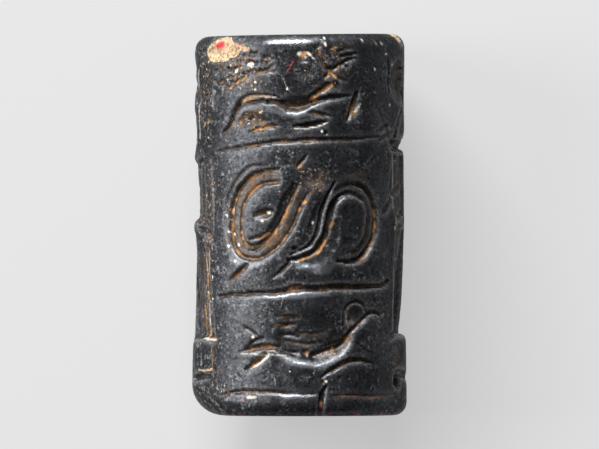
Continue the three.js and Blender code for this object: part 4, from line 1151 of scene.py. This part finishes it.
def join_mouths(cuts_along):
    mesh = bmesh.from_edit_mesh(seal.data)
    for edge in mesh.edges:
        edge.select = edge.is_boundary
    mesh.select_flush(True)
    bmesh.update_edit_mesh(seal.data)
    bpy.ops.mesh.bridge_edge_loops(number_cuts=cuts_along)
    mesh = bmesh.from_edit_mesh(seal.data)
    for vertex in mesh.verts:
        x, z = vertex.co.x / mm, vertex.co.z / mm - axis_height
        radius = math.hypot(x, z)
        if radius < bore_mouth_radius + 0.01:
            height = (vertex.co.y - frame_low[1]) / mm * seal_length / frame_length
            drift = 0.04 * math.sin(0.5 * height) + 0.03 * math.sin(3 * math.atan2(x, z) + 0.4 * height)
            wanted = (bore_radius_at(height) + drift) / radius
            vertex.co.x *= wanted
            vertex.co.z = (axis_height + z * wanted) * mm
    bmesh.update_edit_mesh(seal.data)


bpy.ops.object.mode_set(mode="EDIT")
bpy.ops.mesh.select_mode(type="EDGE")
join_mouths(rings_along_bore)
bpy.ops.mesh.select_all(action="SELECT")
bpy.ops.mesh.normals_make_consistent(inside=False)
bpy.ops.object.mode_set(mode="OBJECT")
bpy.ops.object.shade_smooth()
triangles = sum(len(face.vertices) - 2 for face in seal.data.polygons)
print("closed stone with", triangles, "triangles")

# %% [markdown]
# ## Finish
#
# Polished hematite is a dark, faintly blue grey with a soft metallic gloss. Use has given it fine
# pale scratches in many directions, pale grey and tiny white specks, and cloudy patches. The pale
# grey specks and the clouds are laid more thickly on the side that faces the left lamp, which is
# painted light. The lips along the cuts are painted pale, partly as rubbed wear and partly as
# painted highlight, and a paler blue grey is painted as a highlight on some lips and rims. Scratches
# come four times, at different turns, so they are a node group. Everything else is laid over the
# bare stone layer by layer, and each layer has a short function. Noise is read in millimetres, from
# the object's own place.

# %% Node helpers
def add_node(tree, kind, inputs=None, **settings):
    """A node with its settings and its inputs. An input is a value or another node's output."""
    node = tree.nodes.new(kind)
    for key, value in settings.items():
        setattr(node, key, value)
    for key, value in (inputs or {}).items():
        if isinstance(value, bpy.types.NodeSocket):
            tree.links.new(value, node.inputs[key])
        else:
            node.inputs[key].default_value = value
    return node


def maths(tree, operation, first, second=0.0, clamp=False):
    inputs = {0: first, 1: second}
    return add_node(tree, "ShaderNodeMath", inputs, operation=operation, use_clamp=clamp).outputs[0]


def remap(tree, value, low, high, new_low=0.0, new_high=1.0):
    inputs = {"Value": value, "From Min": low, "From Max": high, "To Min": new_low, "To Max": new_high}
    return add_node(tree, "ShaderNodeMapRange", inputs).outputs["Result"]


def noise(tree, vector, scale, detail=2.0, roughness=0.5):
    inputs = {"Vector": vector, "Scale": scale, "Detail": detail, "Roughness": roughness}
    return add_node(tree, "ShaderNodeTexNoise", inputs).outputs[0]


def blend(tree, share, first, second):
    """Mix two colours."""
    node = add_node(tree, "ShaderNodeMix", data_type="RGBA")
    for socket, value in ((node.inputs[0], share), (node.inputs[6], first), (node.inputs[7], second)):
        if isinstance(value, bpy.types.NodeSocket):
            tree.links.new(value, socket)
        else:
            socket.default_value = value
    return node.outputs[2]


def mark(tree, name):
    """A field that was stored on the vertices."""
    return add_node(tree, "ShaderNodeAttribute", attribute_name=name).outputs["Fac"]


def ragged_mark(tree, name, roughness):
    """A stored field with its edge broken up by a noise."""
    field = mark(tree, name)
    broken = maths(tree, "MULTIPLY", maths(tree, "SUBTRACT", roughness, 0.5), 1.6)
    edge = maths(tree, "MULTIPLY", maths(tree, "MINIMUM", field, 0.7), broken)
    return maths(tree, "ADD", field, edge, True)


# %% Scratch group
def make_scratch_group():
    """Fine straight scratches that run one way. Places go in, a mask comes out."""
    group = bpy.data.node_groups.new("fine scratches", "ShaderNodeTree")
    group.interface.new_socket("Place", in_out="INPUT", socket_type="NodeSocketVector")
    group.interface.new_socket("Turn", in_out="INPUT", socket_type="NodeSocketVector")
    group.interface.new_socket("Amount", in_out="INPUT", socket_type="NodeSocketFloat")
    group.interface.new_socket("Mask", in_out="OUTPUT", socket_type="NodeSocketFloat")
    start = group.nodes.new("NodeGroupInput")
    end = group.nodes.new("NodeGroupOutput")
    turned = add_node(group, "ShaderNodeMapping", {"Vector": start.outputs["Place"],
                                                   "Rotation": start.outputs["Turn"]})
    drawn = add_node(group, "ShaderNodeMapping", {"Vector": turned.outputs[0],
                                                  "Scale": (5.0, 0.22, 5.0)})
    lines = noise(group, drawn.outputs[0], 1.0, 1.0)
    thin = remap(group, maths(group, "ABSOLUTE", maths(group, "SUBTRACT", lines, 0.5)), 0.008, 0.0)
    where = noise(group, start.outputs["Place"], 0.6, 2.0)
    few = remap(group, where, 0.56, 0.68)
    kept = maths(group, "MULTIPLY", maths(group, "MULTIPLY", thin, few), start.outputs["Amount"])
    group.links.new(kept, end.inputs["Mask"])
    return group


scratch_group = make_scratch_group()
print("node group:", scratch_group.name)

# %% Scratches and specks
def highest(tree, *masks):
    together = masks[0]
    for mask in masks[1:]:
        together = maths(tree, "MAXIMUM", together, mask)
    return together


def scratched(tree, place, turns, amount):
    """Scratches in several directions, as one mask."""
    masks = []
    for turn in turns:
        one = add_node(tree, "ShaderNodeGroup", node_tree=scratch_group)
        tree.links.new(place, one.inputs["Place"])
        one.inputs["Turn"].default_value = turn
        one.inputs["Amount"].default_value = amount
        masks.append(one.outputs["Mask"])
    return highest(tree, *masks)


def ragged(tree, place, amount):
    """Places that are pushed about a little, so that what is drawn at them gets ragged edges."""
    swirl = add_node(tree, "ShaderNodeTexNoise", {"Vector": place, "Scale": 4.5, "Detail": 2.0})
    centre = {0: swirl.outputs["Color"], 1: (0.5, 0.5, 0.5)}
    push = add_node(tree, "ShaderNodeVectorMath", centre, operation="SUBTRACT").outputs[0]
    push = add_node(tree, "ShaderNodeVectorMath", {0: push, "Scale": amount}, operation="SCALE").outputs[0]
    return add_node(tree, "ShaderNodeVectorMath", {0: place, 1: push}, operation="ADD").outputs[0]


def specks_of(tree, place, cells_per_mm, size, share):
    """Round specks in a share of the cells of a Voronoi pattern."""
    cells = add_node(tree, "ShaderNodeTexVoronoi", {"Vector": place, "Scale": cells_per_mm})
    near = remap(tree, cells.outputs["Distance"], size, 0.6 * size)
    dice = add_node(tree, "ShaderNodeSeparateColor", {"Color": cells.outputs["Color"]}).outputs[0]
    return maths(tree, "MULTIPLY", near, remap(tree, dice, 1 - share, 1.005 - share))


print("helpers ready for scratches and specks")

# %% Colours
stone_dark = (0.036, 0.037, 0.040, 1)
stone_light = (0.052, 0.054, 0.060, 1)
stone_grain = (0.014, 0.014, 0.015, 1)
stone_cloud = (0.20, 0.20, 0.205, 1)
scratch_grey = (0.22, 0.22, 0.22, 1)
speck_grey = (0.26, 0.26, 0.26, 1)
speck_white = (0.60, 0.60, 0.58, 1)
# pale lips: partly rubbed wear, partly painted highlight
lip_wear_and_highlight_grey = (0.22, 0.22, 0.23, 1)
# painted highlight: a pale blue grey laid where the lamps would glint
painted_highlight_grey = (0.38, 0.40, 0.44, 1)
earth_dark = (0.085, 0.055, 0.036, 1)
earth_brown = (0.22, 0.095, 0.035, 1)
earth_gold = (0.46, 0.26, 0.11, 1)
break_brown = (0.20, 0.125, 0.075, 1)
break_cream = (0.47, 0.37, 0.235, 1)
break_pink = (0.50, 0.24, 0.19, 1)
lime_white = (0.70, 0.66, 0.57, 1)
paint_red = (0.45, 0.028, 0.045, 1)
crumb_brown = (0.06, 0.04, 0.028, 1)
crumb_tan = (0.34, 0.19, 0.085, 1)
crumb_cream = (0.52, 0.44, 0.33, 1)
print("the bare stone reflects", round(100 * stone_light[1]), "% of the light")

# %% Bare and handled stone
def bare_stone(tree, place, noises):
    """Dark stone with a fine dark grain, and pale clouds, laid more thickly as painted light on the side
    that faces the left lamp.
    """
    cloud = noise(tree, place, 0.35, 4.0, 0.6)
    colour = blend(tree, remap(tree, cloud, 0.35, 0.65), stone_dark, stone_light)
    colour = blend(tree, remap(tree, noises["fine"], 0.47, 0.36, 0.0, 0.75), colour, stone_grain)
    broken = remap(tree, noises["fine"], 0.46, 0.6)
    clouding = maths(tree, "MULTIPLY", remap(tree, noises["mottle"], 0.50, 0.62), broken)
    # painted light: the clouds are paler on the side that faces the left lamp
    clouding = maths(tree, "MULTIPLY", clouding, mark(tree, "wear_and_painted_side_light"))
    return blend(tree, clouding, colour, stone_cloud), clouding


def handled_stone(tree, place, noises, colour):
    """Add scratches, specks, pale lips that are partly rubbed wear and partly painted highlight, and painted
    highlights. The scratches and the pale marks come back as masks.
    """
    turns = ((0.3, 0.1, 0.25), (0.9, 0.4, -0.9), (0.2, 1.1, 1.9), (0.1, 0.2, 0.0))
    scratches = scratched(tree, place, turns, 1.0)
    colour = blend(tree, maths(tree, "MULTIPLY", scratches, 0.6), colour, scratch_grey)
    moved = ragged(tree, place, 0.45)
    pale = specks_of(tree, moved, 4.2, 0.27, 0.17)
    # painted light: the pale specks are thicker on the side that faces the left lamp
    pale = maths(tree, "MULTIPLY", pale, maths(tree, "MULTIPLY", mark(tree, "wear_and_painted_side_light"), 0.75))
    colour = blend(tree, pale, colour, speck_grey)
    white = specks_of(tree, moved, 1.6, 0.15, 0.035)
    colour = blend(tree, white, colour, speck_white)
    uneven = remap(tree, noises["grain"], 0.35, 0.65, 0.1, 0.6)
    # pale lips: partly rubbed wear, partly painted highlight where the lamps catch the lips
    lip_wear_and_painted_highlight = maths(tree, "MULTIPLY", mark(tree, "lips"), uneven)
    colour = blend(tree, lip_wear_and_painted_highlight, colour, lip_wear_and_highlight_grey)
    # painted highlight: the pale blue grey, where the stored highlight field is laid
    colour = blend(tree, maths(tree, "MULTIPLY", mark(tree, "gloss_and_painted_highlight"), 0.85), colour, painted_highlight_grey)
    return colour, scratches, highest(tree, pale, white, lip_wear_and_painted_highlight)


print("layers ready: bare and handled stone")

# %% Earth, chips, lime, paint and crumbs
def earth_in_cuts(tree, place, colour):
    """Ochre earth, from dark brown where it is thin to gold where it is thick."""
    patchy = remap(tree, noise(tree, place, 0.9, 3.0, 0.6), 0.40, 0.58, 0.55, 1.15)
    crumble = remap(tree, noise(tree, place, 9.0, 2.0), 0.35, 0.65, 0.8, 1.15)
    spread = maths(tree, "MULTIPLY", patchy, crumble)
    share = maths(tree, "MULTIPLY", mark(tree, "ochre"), spread, True)
    lightness = remap(tree, noise(tree, place, 1.6, 4.0, 0.65), 0.38, 0.62)
    bright = blend(tree, lightness, earth_brown, earth_gold)
    earth = blend(tree, remap(tree, share, 0.35, 0.9), earth_dark, bright)
    return blend(tree, remap(tree, share, 0.05, 0.5), colour, earth), share


def chips_lime_and_paint(tree, place, noises, colour):
    stone_break = blend(tree, remap(tree, noises["fine"], 0.36, 0.6), break_brown, break_cream)
    pinkish = remap(tree, noise(tree, place, 1.7, 2.0), 0.56, 0.64, 0.0, 0.4)
    stone_break = blend(tree, pinkish, stone_break, break_pink)
    chipped = remap(tree, ragged_mark(tree, "flakes", noises["mottle"]), 0.45, 0.6)
    colour = blend(tree, chipped, colour, stone_break)
    limed = ragged_mark(tree, "lime", noises["fine"])
    colour = blend(tree, remap(tree, limed, 0.1, 0.8), colour, lime_white)
    red = remap(tree, ragged_mark(tree, "paint", noises["fine"]), 0.25, 0.75)
    colour = blend(tree, red, colour, paint_red)
    return colour, highest(tree, chipped, limed, red)


def crumbs_of_crust(tree, place, colour):
    """Crumbs of earth that cling to the rough places."""
    cells = add_node(tree, "ShaderNodeTexVoronoi", {"Vector": ragged(tree, place, 0.55), "Scale": 5.2})
    dice = add_node(tree, "ShaderNodeSeparateColor", {"Color": cells.outputs["Color"]})
    near = remap(tree, cells.outputs["Distance"], 0.52, 0.36)
    present = remap(tree, maths(tree, "ADD", dice.outputs[0], mark(tree, "crust")), 1.0, 1.05)
    hue = blend(tree, dice.outputs[1], crumb_brown, crumb_tan)
    hue = blend(tree, remap(tree, dice.outputs[2], 0.84, 0.90), hue, crumb_cream)
    crumbs = maths(tree, "MULTIPLY", near, present, True)
    return blend(tree, crumbs, colour, hue), crumbs


print("layers ready: earth, chips, lime, paint, crumbs")

# %% Hematite
def make_hematite():
    material = bpy.data.materials.new("worn hematite")
    material.use_nodes = True
    tree = material.node_tree
    shader = tree.nodes["Principled BSDF"]
    here = add_node(tree, "ShaderNodeTexCoord").outputs["Object"]
    in_mm = {"Vector": here, "Scale": (1 / mm, 1 / mm, 1 / mm)}
    place = add_node(tree, "ShaderNodeMapping", in_mm).outputs[0]
    noises = {
        "grain": noise(tree, place, 7.0, 3.0, 0.6),
        "mottle": noise(tree, place, 2.6, 4.0, 0.7),
        "fine": noise(tree, place, 5.0, 2.0, 0.6),
    }
    colour, clouding = bare_stone(tree, place, noises)
    colour, scratches, pale_specks_and_lips = handled_stone(tree, place, noises, colour)
    colour, earth = earth_in_cuts(tree, place, colour)
    colour, marks = chips_lime_and_paint(tree, place, noises, colour)
    colour, crumbs = crumbs_of_crust(tree, place, colour)
    tree.links.new(colour, shader.inputs["Base Color"])

    dull = highest(tree, earth, marks, crumbs)
    covered = maths(tree, "MAXIMUM", dull, highest(tree, pale_specks_and_lips, clouding), True)
    tree.links.new(remap(tree, covered, 0.0, 0.7, 0.75, 0.0), shader.inputs["Metallic"])
    gloss = remap(tree, noise(tree, place, 1.3, 3.0), 0.3, 0.7, 0.27, 0.42)
    gloss = maths(tree, "SUBTRACT", gloss, maths(tree, "MULTIPLY", mark(tree, "gloss_and_painted_highlight"), 0.12))
    rough = maths(tree, "MAXIMUM", gloss, maths(tree, "MULTIPLY", dull, 0.9))
    tree.links.new(rough, shader.inputs["Roughness"])

    height = maths(tree, "ADD", maths(tree, "MULTIPLY", noises["grain"], 0.5), noises["mottle"])
    height = maths(tree, "SUBTRACT", height, maths(tree, "MULTIPLY", scratches, 0.5))
    height = maths(tree, "ADD", height, maths(tree, "MULTIPLY", crumbs, 0.5))
    relief = {"Height": height, "Strength": 0.6, "Distance": 0.04 * mm}
    bump = add_node(tree, "ShaderNodeBump", relief)
    tree.links.new(bump.outputs["Normal"], shader.inputs["Normal"])
    shader.inputs["IOR"].default_value = 1.55
    shader.inputs["Specular IOR Level"].default_value = 0.25
    shader.inputs["Specular Tint"].default_value = (0.15, 0.15, 0.15, 1)
    return material


seal.data.materials.append(make_hematite())
print("finish:", seal.data.materials[0].name)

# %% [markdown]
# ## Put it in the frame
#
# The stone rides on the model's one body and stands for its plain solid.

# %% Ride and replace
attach(seal, "root")
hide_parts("seal")
